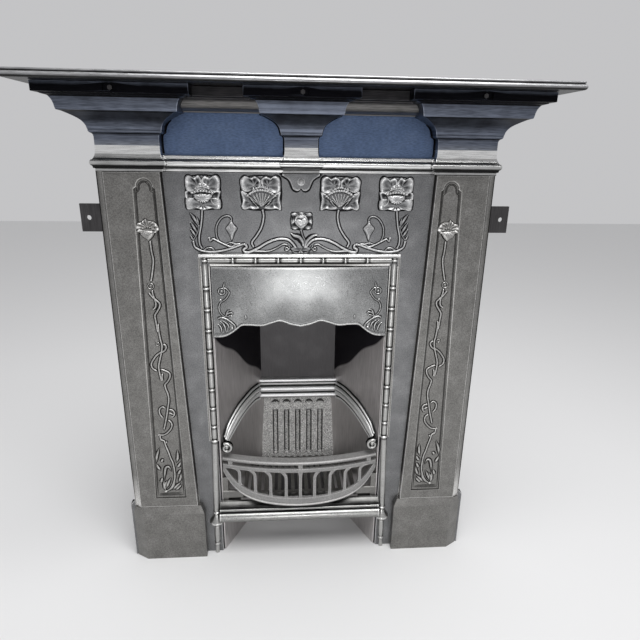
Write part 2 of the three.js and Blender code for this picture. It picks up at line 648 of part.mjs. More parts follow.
// Fire brick leaning back between the cheeks, five flutes under five round dimples.
function fireBrick() {
  const flutes = 5;
  const foot = grateFoot;
  const top = BACK_LEDGE_HEIGHT - LEDGE_BAND - 6;
  const lean = 20;
  const frontFoot = PANEL_DEPTH - 8;
  const backY = CHAMBER_DEPTH - GAP;
  const view = [[backY, foot], [frontFoot, foot], [frontFoot + lean, top], [backY, top]];
  const between = prism('z', chamberPlan(1, 0, backY), 0, chamberTop);
  const slope = lean / (top - foot);
  const fluteFoot = foot + 20;
  const fluteTop = top - 40;
  const cuts = Array.from({ length: flutes }, (_, i) => {
    const x = (i - (flutes - 1) / 2) * 31;
    const groove = new THREE.CylinderGeometry(8, 8, fluteTop - fluteFoot, 10);
    groove.rotateX(Math.PI / 2 - Math.atan(slope));
    const middle = (fluteTop + fluteFoot) / 2;
    groove.translate(x, frontFoot + slope * (middle - foot) - 3, middle);
    const dimple = new THREE.SphereGeometry(11, 12, 8);
    dimple.translate(x, frontFoot + slope * (top - 19 - foot) - 5, top - 19);
    return solid(groove).add(solid(dimple));
  });
  return prism('x', view, -OPENING_HALF, OPENING_HALF).intersect(between).subtract(joined(cuts));
}

// The curved moulding on each cheek, from the back ledge down to a scroll over the bars' end.
function cheekMoulding(side) {
  const scroll = { y: 6, z: BASKET_HEIGHT + SCROLL_RISE, radius: SCROLL_RADIUS };
  const { lerp } = THREE.MathUtils;
  const from = PANEL_DEPTH - 18;
  const curve = (shares, endY, startZ, endZ) => new THREE.SplineCurve(shares.map(
    ([forward, down]) => new THREE.Vector2(lerp(from, endY, forward), lerp(startZ, endZ, down)),
  )).getSpacedPoints(12);
  const top = curve(
    [[0, 0], [0.228, -0.02], [0.432, 0.07], [0.63, 0.22], [0.883, 0.6], [1, 1]],
    scroll.y + 10, BACK_LEDGE_HEIGHT + 2, scroll.z + 2 * scroll.radius,
  );
  const foot = curve(
    [[0, 0], [0.16, -0.14], [0.41, -0.02], [0.647, 0.31], [0.89, 0.81], [1, 1]],
    scroll.y + 16, BACK_LEDGE_HEIGHT - LEDGE_BAND, scroll.z - scroll.radius / 2,
  );
  const ridges = [0, 7, 1.5, 9, 9, 2, 5, 0];
  const band = shapedBox([12, 7, 1], (u, v, w) => {
    const [a, b] = [foot[Math.round(u * 12)], top[Math.round(u * 12)]];
    const y = lerp(a.x, b.x, v);
    const z = lerp(a.y, b.y, v);
    const rise = GAP + w * (3 + ridges[Math.round(v * 7)]);
    return [cheekHalf(y) - rise, y, z];
  });
  const volute = new THREE.CylinderGeometry(scroll.radius, scroll.radius, 9, 16);
  volute.translate(cheekHalf(0) - scroll.radius - 3, scroll.y, scroll.z);
  const neck = box(
    cheekHalf(0) - scroll.radius - 4, cheekHalf(26) - GAP, scroll.y - 3, 26, scroll.z + 4, scroll.z + 26,
  );
  const eye = new THREE.CylinderGeometry(5, 5, 13, 10);
  eye.translate(cheekHalf(0) - scroll.radius - 3, scroll.y, scroll.z);
  const reach = prism('z', chamberPlan(GAP, -SHELF_REACH, CHAMBER_DEPTH), 0, chamberTop);
  return mirrored(joined([band, solid(volute), solid(eye), neck]).intersect(reach), side);
}

// ---------------------------------------------------------------- basket front and grates

const barHalf = CHEEK_FRONT_HALF - 6;
const bow = (x) => BASKET_BOW * (x / barHalf) ** 2 - BASKET_REACH;
const bandFoot = (x) => {
  const t = x / barHalf;
  return GRATE_HEIGHT - 11 + 84.5 * (0.3 * t ** 2 + 0.7 * t ** 6);
};

// A bar that follows the bow, its height and depth given at each x.
function bowedBar(lowZ, highZ, depth) {
  return shapedBox([20, 1, 1], (u, v, w) => {
    const x = barHalf * (2 * u - 1);
    return [x, bow(x) + v * depth, THREE.MathUtils.lerp(lowZ(x), highZ(x), w)];
  });
}

// Spindle from the crescent up to the second bar, its head hooking away from the middle.
function spindle(index, headZ) {
  const x0 = (index - (SPINDLES - 1) / 2) * SPINDLE_PITCH;
  const away = Math.sign(x0);
  const half = SPINDLE_WIDTH / 2;
  const foot = bandFoot(x0) + BAND_HEIGHT - 4;
  const hook = 9;
  return shapedBox([1, 1, 6], (u, v, w) => {
    const lean = hook * Math.max(0, (w - 0.6) / 0.4) ** 2;
    const x = x0 + away * (lean - hook / 3) + (2 * u - 1) * half;
    return [x, bow(x0) + 1 + v * 7, THREE.MathUtils.lerp(foot, headZ + 3, w)];
  });
}

function frontBars() {
  const topBar = bowedBar(() => BASKET_HEIGHT - 7, () => BASKET_HEIGHT, 25);
  const secondBar = bowedBar(() => BASKET_HEIGHT - 27, () => BASKET_HEIGHT - 17, 9);
  const crescent = bowedBar(bandFoot, (x) => bandFoot(x) + BAND_HEIGHT, 8);
  const rim = bowedBar((x) => bandFoot(x), (x) => bandFoot(x) + 5, 8).translate([0, -2, 0]);
  const spindles = Array.from({ length: SPINDLES }, (_, i) => spindle(i, BASKET_HEIGHT - 27));
  const ties = [-0.9, 0, 0.9].map((share) => {
    const x = share * barHalf;
    return box(x - 5, x + 5, bow(x) + 2, bow(x) + 8, BASKET_HEIGHT - 19, BASKET_HEIGHT - 5);
  });
  const reach = prism('z', chamberPlan(RUN, -SHELF_REACH, CHAMBER_DEPTH), 0, chamberTop);
  return joined([topBar, secondBar, crescent, rim, ...spindles, ...ties]).intersect(reach);
}

function bottomGrate() {
  const top = GRATE_HEIGHT;
  const low = top - GRATE_BAR_HEIGHT;
  const back = GRATE_FRONT + GRATE_DEPTH;
  const bars = Array.from({ length: GRATE_BARS }, (_, i) => {
    const x = (i - (GRATE_BARS - 1) / 2) * GRATE_BAR_PITCH;
    const half = GRATE_BAR_WIDTH / 2;
    return box(x - half, x + half, GRATE_FRONT, back, low, top);
  });
  const crossBars = [GRATE_FRONT + 6, back - 10].map(
    (y) => box(-OPENING_HALF, OPENING_HALF, y, y + 10, grateFoot, top - 4),
  );
  const reach = prism('z', chamberPlan(RUN, 0, CHAMBER_DEPTH), 0, top + 1);
  return joined([...bars, ...crossBars]).intersect(reach);
}

// Casting on the cheek's front edge: a round nosed bar, a shelf for the grate and a standard that
// carries the end of the bowed bars.
function grateRest(side) {
  const noseView = [[4, -3], [8, -4], [12, -3], [12, 14], [10, 16], [6, 16], [4, 14]]
    .map(([y, z]) => [y, GRATE_HEIGHT + z]);
  const nose = prism('x', noseView, cheekHalf(0) - REST_LENGTH, cheekHalf(0));
  const front = PLATE_THICKNESS + GAP;
  const shelf = box(
    cheekHalf(0) - REST_LENGTH + 8, cheekHalf(0), front, GRATE_FRONT + 30, grateFoot - 14, grateFoot - GAP,
  );
  const standardX = barHalf - 10;
  const seat = bandFoot(standardX) - GAP;
  const standard = box(standardX, cheekHalf(0), front, GRATE_FRONT - 1, grateFoot - 14, seat);
  const reach = prism('z', chamberPlan(GAP, 0, CHAMBER_DEPTH), 0, chamberTop);
  return mirrored(joined([nose, shelf, standard]).intersect(reach), side);
}

// ---------------------------------------------------------------- throat and damper

const portBack = PORT_FRONT + PORT_DEPTH;
const collarTop = chamberTop + REGISTER_THICKNESS + COLLAR_HEIGHT;
const hinge = { y: portBack + COLLAR_WALL + 8, z: collarTop + GAP + FLAP_THICKNESS / 2 };

function registerPlate() {
  const front = PLATE_THICKNESS + GAP;
  const back = CHAMBER_DEPTH + REAR_THICKNESS;
  const plan = [
    [-cheekHalf(front) - CHEEK_THICKNESS, front], [cheekHalf(front) + CHEEK_THICKNESS, front],
    [cheekHalf(back) + CHEEK_THICKNESS, back], [-cheekHalf(back) - CHEEK_THICKNESS, back],
  ];
  const half = PORT_WIDTH / 2;
  const plate = prism('z', plan, chamberTop, chamberTop + REGISTER_THICKNESS);
  const collar = box(
    -half - COLLAR_WALL, half + COLLAR_WALL, PORT_FRONT - COLLAR_WALL, portBack + COLLAR_WALL,
    chamberTop + 1, collarTop,
  );
  const port = box(-half, half, PORT_FRONT, portBack, chamberTop - 1, collarTop + 1);
  const ears = [-1, 1].map((side) => mirrored(box(
    half - 8, half - 2, portBack + 1, hinge.y + 7, chamberTop + 1, hinge.z + 7,
  ), side));
  const pinHole = turnedAcross(
    [[0, -half - 20], [PIN_RADIUS + GAP, -half - 20], [PIN_RADIUS + GAP, half + 20], [0, half + 20]],
    hinge.y, hinge.z,
  );
  return plate.add(collar).add(joined(ears)).subtract(port).subtract(pinHole);
}

function damperPin() {
  const half = PORT_WIDTH / 2 + 3;
  return turnedAcross(
    [[0, -half], [PIN_RADIUS, -half], [PIN_RADIUS, half], [0, half]], hinge.y, hinge.z,
  );
}

// The flap lies on the collar and swings up about the pin behind it.
function damperFlap() {
  const half = PORT_WIDTH / 2 + FLAP_OVERLAP;
  const knuckleHalf = PORT_WIDTH / 2 - 12;
  const bottom = collarTop + GAP;
  const plate = box(
    -half, half, PORT_FRONT - FLAP_OVERLAP, portBack + COLLAR_WALL - 1, bottom, bottom + FLAP_THICKNESS,
  );
  const arm = box(
    -knuckleHalf, knuckleHalf, portBack, hinge.y, bottom, bottom + FLAP_THICKNESS,
  );
  const knuckle = turnedAcross([[0, -knuckleHalf], [7, -knuckleHalf], [7, knuckleHalf], [0, knuckleHalf]],
    hinge.y, hinge.z);
  const bore = turnedAcross([[0, -half], [PIN_RADIUS + GAP, -half], [PIN_RADIUS + GAP, half], [0, half]],
    hinge.y, hinge.z);
  const earRoom = [-1, 1].map((side) => mirrored(box(
    PORT_WIDTH / 2 - 10, PORT_WIDTH / 2, portBack - 1, hinge.y + 10, bottom - 1, bottom + 20,
  ), side));
  const hookHole = box(
    -8, 8, PORT_FRONT + HOOK_SETBACK, PORT_FRONT + HOOK_SETBACK + 8, bottom - 1, bottom + FLAP_THICKNESS + 1,
  );
  return joined([plate, arm, knuckle]).subtract(bore).subtract(joined(earRoom)).subtract(hookHole);
}

// Hook under the flap, lifted with a poker from the fire.
function damperHook() {
  const top = collarTop + GAP + FLAP_THICKNESS;
  const drop = 62;
  const y = PORT_FRONT + HOOK_SETBACK + GAP;
  const view = [
    [y, top + 3], [y + 7.4, top + 3], [y + 7.4, top - drop + 8], [y + 16, top - drop + 8],
    [y + 16, top - drop + 18], [y + 22, top - drop + 18], [y + 22, top - drop], [y, top - drop],
  ];
  const head = box(-12, 12, y - 3, y + 11, top + GAP, top + 4);
  return prism('x', view, GAP - 8, 8 - GAP).add(head);
}

// ---------------------------------------------------------------- fixings

// Lug standing out from the plate's turned back edge, flat against the wall.
function wallLug(side) {
  const x0 = PLATE_WIDTH / 2 + GAP;
  const z0 = PLATE_HEIGHT - LUG_DROP;
  const plate = box(x0, x0 + LUG_WIDTH, WALL_LINE - 6, WALL_LINE, z0, z0 + LUG_HEIGHT);
  const hole = new THREE.CylinderGeometry(LUG_HOLE_RADIUS, LUG_HOLE_RADIUS, 20, 16);
  hole.translate(x0 + LUG_WIDTH * 0.64, WALL_LINE - 3, z0 + LUG_HEIGHT / 2);
  return mirrored(plate.subtract(solid(hole)), side);
}

// Hex head of a bolt through the cheek's flange, seen from behind.
function cheekBolt(side, z) {
  const x = cheekHalf(PLATE_THICKNESS) + 15;
  const y = PLATE_THICKNESS + GAP + CHEEK_THICKNESS + GAP;
  const head = new THREE.CylinderGeometry(8, 8, 6, 6);
  head.translate(side * x, y + 3, z);
  return solid(head);
}

// ---------------------------------------------------------------- assembly

const iron = (colour, roughness = 0.42, metalness = 0.9) => ({ colour, roughness, metalness });
const BRIGHT = iron(0x9a9a9c, 0.32);
const BURNISHED = iron(0x7c7c7e);
const DARK = iron(0x4a484c, 0.6);
const BRICK = iron(0x8a8884, 0.95, 0);

const group = new THREE.Group();

function place(name, part, { colour, roughness, metalness }) {
  const { numProp, vertProperties, triVerts } = part.getMesh();
  const geometry = new THREE.BufferGeometry();
  const points = new Float32Array((vertProperties.length / numProp) * 3);
  for (let i = 0; i < points.length / 3; i += 1) {
    points.set(vertProperties.subarray(i * numProp, i * numProp + 3), i * 3);
  }
  geometry.setAttribute('position', new THREE.BufferAttribute(points, 3));
  geometry.setIndex(new THREE.BufferAttribute(triVerts, 1));
  const material = new THREE.MeshStandardMaterial({ color: colour, roughness, metalness });
  const mesh = new THREE.Mesh(geometry, material);
  mesh.name = name;
  group.add(mesh);
}

place('mantel_shelf', mantelShelf(), BRIGHT);
place('frieze_panel', friezePanel(), BURNISHED);
for (const [word, x, width] of corbels) {
  place(`corbel_${word}`, corbel(x, width), BURNISHED);
  place(`corbel_screw_${word}`, corbelScrew(x), DARK);
}
place('corbel_tongue', corbelTongue(), BURNISHED);
place('front_plate', frontPlate(), BURNISHED);
place('bamboo_top', bambooTop(), BRIGHT);
place('opening_ledge', openingLedge(), BRIGHT);
place('hood', hood(), BURNISHED);
place('ash_rail', ashRail(), BRIGHT);
place('rear_plate', rearPlate(), DARK);
place('upper_back_panel', upperBackPanel(), DARK);
place('fire_brick', fireBrick(), BRICK);
place('front_bars', frontBars(), BURNISHED);
place('bottom_grate', bottomGrate(), DARK);
place('register_plate', registerPlate(), DARK);
place('damper_flap', damperFlap(), DARK);
place('damper_pin', damperPin(), DARK);
place('damper_hook', damperHook(), DARK);

for (const [word, side] of [['left', -1], ['right', 1]]) {
  place(`cornice_${word}`, cornice(side), BURNISHED);
  place(`nosing_${word}`, nosing(side), BRIGHT);
  place(`pilaster_${word}`, pilaster(side), BURNISHED);
  place(`plinth_${word}`, plinth(side), BURNISHED);
  place(`bamboo_${word}`, bambooPost(side), BRIGHT);
  place(`cheek_${word}`, cheek(side), DARK);
  place(`cheek_moulding_${word}`, cheekMoulding(side), BRIGHT);
  place(`grate_rest_${word}`, grateRest(side), BURNISHED);
  place(`wall_lug_${word}`, wallLug(side), DARK);
  place(`cheek_bolt_${word}_low`, cheekBolt(side, LOW_BOLT_HEIGHT), DARK);
  place(`cheek_bolt_${word}_high`, cheekBolt(side, chamberTop - HIGH_BOLT_DROP), DARK);
}

group.position.y = (SHELF_REACH - CHAMBER_DEPTH - REAR_THICKNESS) / 2;

export default group;
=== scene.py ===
# %% [markdown]
# # A cast iron fireplace, dressed over its own frame
#
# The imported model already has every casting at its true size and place. This lesson loads it,
# keeps the flat castings as they are with a better finish, and puts finely shaped surfaces in
# the place of the moulded and carved ones.

import bpy
import numpy as np
from mathutils import Matrix, Vector


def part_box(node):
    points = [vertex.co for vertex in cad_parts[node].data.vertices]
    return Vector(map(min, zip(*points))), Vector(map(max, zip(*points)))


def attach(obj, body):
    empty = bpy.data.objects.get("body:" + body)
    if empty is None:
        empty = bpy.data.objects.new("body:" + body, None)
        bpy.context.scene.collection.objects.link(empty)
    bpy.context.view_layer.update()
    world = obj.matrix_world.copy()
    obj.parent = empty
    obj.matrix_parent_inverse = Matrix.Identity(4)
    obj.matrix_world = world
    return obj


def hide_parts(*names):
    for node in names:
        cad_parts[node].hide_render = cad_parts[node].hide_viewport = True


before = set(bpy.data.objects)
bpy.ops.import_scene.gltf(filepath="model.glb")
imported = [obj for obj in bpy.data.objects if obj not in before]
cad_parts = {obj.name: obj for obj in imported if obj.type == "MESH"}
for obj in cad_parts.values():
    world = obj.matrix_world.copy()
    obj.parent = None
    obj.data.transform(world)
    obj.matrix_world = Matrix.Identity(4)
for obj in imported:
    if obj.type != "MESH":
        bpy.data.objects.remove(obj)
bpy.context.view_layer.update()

print("castings", len(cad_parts))

# %% [markdown]
# ## Sizes
#
# Ornament is easiest to draw on the main plate, in millimetres, with Y = 0 on the plate's front.
# The helper `reach` reads a casting's box in those terms, so every new piece takes its size from
# the casting that it stands for.

# %% Measure the castings
MM = 0.001
PLATE_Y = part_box("frieze_panel")[0][1]


def reach(node):
    """Lowest and highest corner of a casting in millimetres, Y from the main plate's front."""
    low, high = np.array(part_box(node)) - (0, PLATE_Y, 0)
    return low / MM, high / MM


SHELF_LOW, SHELF_HIGH = reach("mantel_shelf")
FRIEZE_FOOT = reach("frieze_panel")[0][2] - 0.3
FRIEZE_TOP = reach("frieze_panel")[1][2]
FRIEZE_HEIGHT = FRIEZE_TOP - FRIEZE_FOOT
OPENING_HALF, OPENING_TOP = 194.0, 739.0        # the opening in the main plate
print("frieze from", round(FRIEZE_FOOT), "to", round(FRIEZE_TOP), "mm above the floor")

# %% [markdown]
# ## Iron
#
# Burnished iron is a bare metal with a fine cast grain. Blacking stays in its hollows and rubbing
# brightens its arrises, and on top of that shade is painted into hollows, corners and undersides,
# and highlights onto arrises and what faces up. A value on each point carries both: below zero in a
# hollow or painted shade, above zero on an edge or painted highlight. The finish blends three greys
# by it, and a fine noise gives grain and bump. One function builds the nodes of every finish, so
# that all irons answer to that value in the same way.

# %% Finishes
CHEEK_SLOPE = 0.4796            # the cheeks splay this much across for each metre back
CHAMBER_HALF = 0.1945           # half the chamber's width at the main plate, walls included
# The hood's shadow on the cheeks is painted: this dark colour lies above a wavy line.
HOOD_SHADOW_COLOUR = (0.040, 0.037, 0.044, 1)
SWAY, SWAY_RATE = 0.005, 62.0   # the painted shadow's edge sways this far, in metres, and this fast per metre


def finish(name, hollow, face, arris, rough, metal=1.0, grain=520.0, bump=0.35, blotch=30.0,
           speckled=0.60, cloudy=0.05, brushed=(1, 1, 1), hood_shadow=None):
    """A procedural finish: three colours blended by each point's value of rubbing and painted shade
    and highlight, clouded by a coarse noise (blotch, per metre) and roughened by a fine one (grain,
    per metre). Brushed stretches the fine noise into strokes: a small number means long strokes
    along that axis. The hood's shadow, when given, is (height, fall): a painted shadow lies above a
    line that starts at that height on the main plate and falls towards the back, and the same dark
    colour covers all that lies outside the chamber, |x| + CHEEK_SLOPE y > CHAMBER_HALF."""
    material = bpy.data.materials.new(name)
    material.use_nodes = True
    tree = material.node_tree

    def node(kind, inputs, **settings):
        """A node whose inputs are constants or sockets of other nodes."""
        made = tree.nodes.new("ShaderNode" + kind)
        for setting, value in settings.items():
            setattr(made, setting, value)
        for socket, value in inputs.items():
            if isinstance(value, bpy.types.NodeSocket):
                tree.links.new(value, made.inputs[socket])
            else:
                made.inputs[socket].default_value = value
        return made

    def noise(scale, detail, stretch=(1, 1, 1)):
        turned = node("Mapping", {"Vector": place, "Scale": stretch}).outputs["Vector"]
        return node("TexNoise", {"Vector": turned, "Scale": scale, "Detail": detail}).outputs["Fac"]

    def combine(operation, *values):
        return node("Math", dict(enumerate(values)), operation=operation).outputs["Value"]

    def spread(value, to_low, to_high, from_low=0.3, from_high=0.7):
        return node("MapRange", {"Value": value, "From Min": from_low, "From Max": from_high,
                                 "To Min": to_low, "To Max": to_high}).outputs["Result"]

    def ramp(value, *stops):
        made = node("ValToRGB", {"Fac": value})
        elements = made.color_ramp.elements
        for element, (position, shade) in zip(list(elements), (stops[0], stops[-1])):
            element.position, element.color = position, (*shade, 1)
        for position, shade in stops[1:-1]:
            elements.new(position).color = (*shade, 1)
        return made.outputs["Color"]

    def mix(blend, share, first, second):
        return node("Mix", {"Factor": share, "A": first, "B": second}, data_type="RGBA",
                    blend_type=blend).outputs["Result"]

    place = node("TexCoord", {}).outputs["Object"]
    coarse, fine = noise(blotch, 4.0), noise(grain, 3.0, brushed)
    wear = node("Attribute", {}, attribute_name="wear").outputs["Fac"]
    uneven = combine("ADD", wear, spread(coarse, -cloudy, cloudy))
    colour = ramp(spread(uneven, 0.0, 1.0, -1.0, 1.0), (0.30, hollow), (0.50, face), (0.80, arris))
    # Painted shadow of the hood above a sloping, swaying line; the same dark colour outside the
    # chamber.
    if hood_shadow is not None:
        height, fall = hood_shadow
        x, y, z = node("SeparateXYZ", {"Vector": place}).outputs
        sway = combine("MULTIPLY", combine("SINE", combine("MULTIPLY", y, SWAY_RATE)), SWAY)
        shadow_line = combine("ADD", combine("MULTIPLY_ADD", y, -fall, height + fall * PLATE_Y), sway)
        above = spread(combine("SUBTRACT", z, shadow_line), 0.0, 1.0, -0.002, 0.004)
        across = combine("MULTIPLY_ADD", y, CHEEK_SLOPE, combine("ABSOLUTE", x))
        outside = combine("GREATER_THAN", across, CHAMBER_HALF + CHEEK_SLOPE * PLATE_Y)
        colour = mix("MIX", combine("MAXIMUM", above, outside), colour, HOOD_SHADOW_COLOUR)
    speckle = ramp(fine, (0.36, (speckled, speckled, speckled)), (0.64, (1, 1, 1)))
    dents = node("Bump", {"Height": fine, "Strength": bump, "Distance": 0.4 * MM})
    shader = tree.nodes["Principled BSDF"].inputs
    shader["Metallic"].default_value = metal
    tree.links.new(mix("MULTIPLY", 1.0, colour, speckle), shader["Base Color"])
    tree.links.new(spread(fine, rough - 0.07, rough + 0.10), shader["Roughness"])
    tree.links.new(dents.outputs["Normal"], shader["Normal"])
    return material


ALONG_X, UPRIGHT = (0.05, 1, 1), (1, 1, 0.05)
burnished = finish("burnished_iron", (0.022, 0.021, 0.020), (0.262, 0.257, 0.246),
                   (0.85, 0.84, 0.82), 0.40)
plate_iron = finish("plate_iron", (0.020, 0.020, 0.021), (0.236, 0.238, 0.243),
                    (0.88, 0.88, 0.88), 0.40, bump=0.45)
polished = finish("polished_iron", (0.02, 0.02, 0.02), (0.50, 0.50, 0.495), (0.95, 0.95, 0.94),
                  0.28, bump=0.10, speckled=0.74, brushed=ALONG_X)
shelf_iron = finish("shelf_iron", (0.03, 0.03, 0.03), (0.40, 0.402, 0.41), (0.80, 0.80, 0.80),
                    0.33, bump=0.12, speckled=0.80, brushed=(0.12, 1, 1))
cane_iron = finish("cane_iron", (0.018, 0.018, 0.018), (0.27, 0.268, 0.26), (0.90, 0.90, 0.88),
                   0.33, bump=0.12, speckled=0.80)
hood_iron = finish("hood_iron", (0.03, 0.03, 0.03), (0.30, 0.304, 0.304), (0.85, 0.85, 0.84),
                   0.31, bump=0.45)
basket_iron = finish("basket_iron", (0.03, 0.03, 0.03), (0.33, 0.325, 0.32), (0.66, 0.65, 0.64),
                     0.48, metal=0.45)
# The frieze's iron is painted blue and dark: a painted sky reflection and the shelf's painted
# shade.
sky_shade = finish("blued_iron", (0.02, 0.024, 0.036), (0.130, 0.185, 0.31), (0.30, 0.37, 0.50), 0.42,
               speckled=0.70, brushed=(0.3, 1, 1))
# Shaded iron: painted shade with a bluish painted sky reflection, for the corbel heads under the
# shelf.
shaded = finish("shaded_iron", (0.008, 0.008, 0.010), (0.185, 0.208, 0.265), (0.40, 0.42, 0.46),
                0.44, grain=800.0, bump=0.2, speckled=0.52, brushed=ALONG_X)
# Dusky iron: painted shade, for what stands under the shelf.
dusky = finish("dusky_iron", (0.008, 0.008, 0.010), (0.085, 0.082, 0.086), (0.20, 0.195, 0.19),
               0.50, grain=800.0, bump=0.2, speckled=0.45, brushed=ALONG_X)
blacked = finish("blacked_iron", (0.012, 0.012, 0.012), (0.085, 0.082, 0.084), (0.42, 0.42, 0.42),
                 0.50, speckled=0.70, cloudy=0.02, brushed=UPRIGHT)
# Cheek iron has a light face, painted as lit, and carries the hood's painted shadow.
cheek_iron = finish("cheek_iron", (0.04, 0.04, 0.04), (0.66, 0.635, 0.63), (0.9, 0.9, 0.9), 0.45,
                    speckled=0.78, cloudy=0.02, brushed=UPRIGHT, hood_shadow=(0.580, 0.89))
# Ledge iron is a much brighter copy of the iron, painted as lit, for the back ledge and cheek
# ridges.
ledge_iron = finish("ledge_iron", (0.015, 0.015, 0.015), (0.80, 0.80, 0.79), (1.0, 1.0, 1.0), 0.42,
                    metal=0.8, bump=0.12, speckled=0.84)
fire_clay = finish("fire_clay", (0.06, 0.058, 0.055), (0.80, 0.79, 0.77), (1.0, 0.99, 0.97), 0.80,
                   metal=0.0, grain=330.0, bump=1.0, speckled=0.35)
FINISHES = {"burnished_iron": burnished, "bright_iron": polished, "dark_iron": blacked,
            "fire_clay": fire_clay}
print("finishes", len(bpy.data.materials))

# %% [markdown]
# ## Making a piece
#
# Every new piece is one or more closed shells. A shell is an array of points, an array of four
# sided faces and a list of many sided caps. `piece` puts them in one mesh, works out how each
# point is rubbed or painted light or shade, hangs it under the empty of the body that carries it,
# and hides the castings that it stands for.

# %% Shells and pieces
GAIN, SHARP = 2.5, 40.0         # how strongly arrises and hollows take rubbing and painted light, and from how many degrees edges are sharp


def seated(points):
    """Painted shade in the corner where a casting stands on the plate behind it."""
    return -1.1 * np.clip(1 - (-points[:, 1] - 0.5) / 1.8, 0, 1)


def point_normals(mesh, count):
    """The mesh's normals at its points."""
    normals = np.empty(3 * count)
    mesh.vertex_normals.foreach_get("vector", normals)
    return normals.reshape(-1, 3)


def edge_wear_and_shade(mesh, points):
    """Mean over a point's edges of normal . (point - neighbour) / length: 0 on a flat, over 0 on
    an arris, under 0 in a hollow."""
    normals = point_normals(mesh, len(points))
    ends = np.empty(2 * len(mesh.edges), int)
    mesh.edges.foreach_get("vertices", ends)
    a, b = ends.reshape(-1, 2).T
    away = points[a] - points[b]
    away /= np.linalg.norm(away, axis=1)[:, None] + 1e-9
    total = np.bincount(a, (normals[a] * away).sum(1), len(points))
    total -= np.bincount(b, (normals[b] * away).sum(1), len(points))
    return total / np.maximum(np.bincount(a, minlength=len(points))
                              + np.bincount(b, minlength=len(points)), 1)


def paint_wear_and_shade(mesh, gain, wear, underside_shade, top_highlight):
    """Writes for each point how far it is lightened or darkened: its arris, lighter by rubbing and
    a painted highlight, or its hollow, darker by blacking and painted shade; what the piece's own
    rule adds; painted shade on what faces the floor and a painted highlight on what faces up."""
    points = np.empty(3 * len(mesh.vertices))
    mesh.vertices.foreach_get("co", points)
    points = points.reshape(-1, 3)
    amount = gain * edge_wear_and_shade(mesh, points)
    if wear is not None:
        amount += wear(points / MM - (0, PLATE_Y / MM, 0))
    facing_up = point_normals(mesh, len(points))[:, 2]
    # Painted shade on what faces the floor, and a painted highlight on what faces up.
    amount += top_highlight * np.clip(facing_up, 0, 1) - underside_shade * np.clip(-facing_up, 0, 1)
    layer = mesh.attributes.get("wear") or mesh.attributes.new("wear", "FLOAT", "POINT")
    layer.data.foreach_set("value", np.clip(amount, -1, 1))


def piece(name, shells, material, body="surround", replaces=(), gain=GAIN,
          sharp=SHARP, wear=None, underside_shade=0.0, top_highlight=0.0):
    """Puts shells, in millimetres on the main plate, in one mesh in the frame's metres. The last
    two numbers paint shade on what faces the floor and a highlight on what faces up."""
    points, faces, start = [], [], 0
    for shell in shells:
        shell_points, quads, caps = outward(shell)
        points.append(shell_points)
        faces += (quads + start).tolist()
        faces += [(np.asarray(cap) + start).tolist() for cap in caps]
        start += len(shell_points)
    points = np.concatenate(points) * MM + (0, PLATE_Y, 0)
    mesh = bpy.data.meshes.new(name)
    mesh.from_pydata(points.tolist(), [], faces)
    mesh.polygons.foreach_set("use_smooth", np.ones(len(mesh.polygons), bool))
    mesh.set_sharp_from_angle(angle=np.radians(sharp))
    mesh.update()
    paint_wear_and_shade(mesh, gain, wear, underside_shade, top_highlight)
    mesh.materials.append(material)
    thing = bpy.data.objects.new(name, mesh)
    bpy.context.scene.collection.objects.link(thing)
    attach(thing, body)
    if replaces:
        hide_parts(*replaces)
    print(name, len(points), "points")
    return thing


def grid_quads(rows, columns, closed=False):
    """Faces of a rows x columns grid of points, its rows closed on themselves or not."""
    i = np.arange(rows - 1)[:, None]
    j = np.arange(columns if closed else columns - 1)[None]
    below, right = i + 1, (j + 1) % columns
    corners = [i * columns + j, below * columns + j, below * columns + right, i * columns + right]
    return np.stack(np.broadcast_arrays(*corners), -1).reshape(-1, 4)


def outward(shell):
    """The shell with its faces turned outward: if the volume under them is negative, all turn."""
    points, quads, caps = shell
    points, quads = np.asarray(points, float).reshape(-1, 3), np.asarray(quads)
    a, b, c, d = points[quads].transpose(1, 0, 2)
    volume = (a * (np.cross(b, c) + np.cross(c, d))).sum()
    for cap in caps:
        rim = points[cap]
        volume += (np.cross(rim[1:-1], rim[2:]) @ rim[0]).sum()
    if volume < 0:
        return points, quads[:, ::-1], [np.asarray(cap)[::-1] for cap in caps]
    return points, quads, caps


def mirror(shell):
    """The shell on the other side of the middle."""
    points, quads, caps = shell
    return np.asarray(points, float).reshape(-1, 3) * (-1, 1, 1), quads, caps


def handed(side, shells):
    """Shells drawn for the right side, mirrored if they are wanted on the left."""
    return list(shells) if side == "right" else [mirror(shell) for shell in shells]


def loft(loops):
    """Closed loops of points, one after another, with a cap on the first and on the last."""
    loops = np.asarray(loops, float)
    count, around = loops.shape[:2]
    last = (count - 1) * around
    caps = [np.arange(around), np.arange(last, last + around)[::-1]]
    return loops.reshape(-1, 3), grid_quads(count, around, closed=True), caps


# %% [markdown]
# ## Lines
#
# Mouldings and stems start as a few measured points. `curve` threads a smooth line through them,
# and `eased` rounds each corner of a profile a little, as a casting's corners are.

# %% Smooth lines


def curve(points, steps=8):
    """Catmull-Rom line: between b and c, with neighbours a and d,
    ((2b) + (c-a)t + (2a-5b+4c-d)t2 + (3b-a-3c+d)t3) / 2 for t from 0 to 1."""
    p = np.asarray(points, float)
    p = np.vstack([2 * p[0] - p[1], p, 2 * p[-1] - p[-2]])
    a, b, c, d = p[:-3, None], p[1:-2, None], p[2:-1, None], p[3:, None]
    t = np.linspace(0, 1, steps, endpoint=False)[None, :, None]
    line = (2 * b + (c - a) * t + (2 * a - 5 * b + 4 * c - d) * t ** 2
            + (3 * b - a - 3 * c + d) * t ** 3) / 2
    return np.vstack([line.reshape(-1, p.shape[1]), p[-2]])


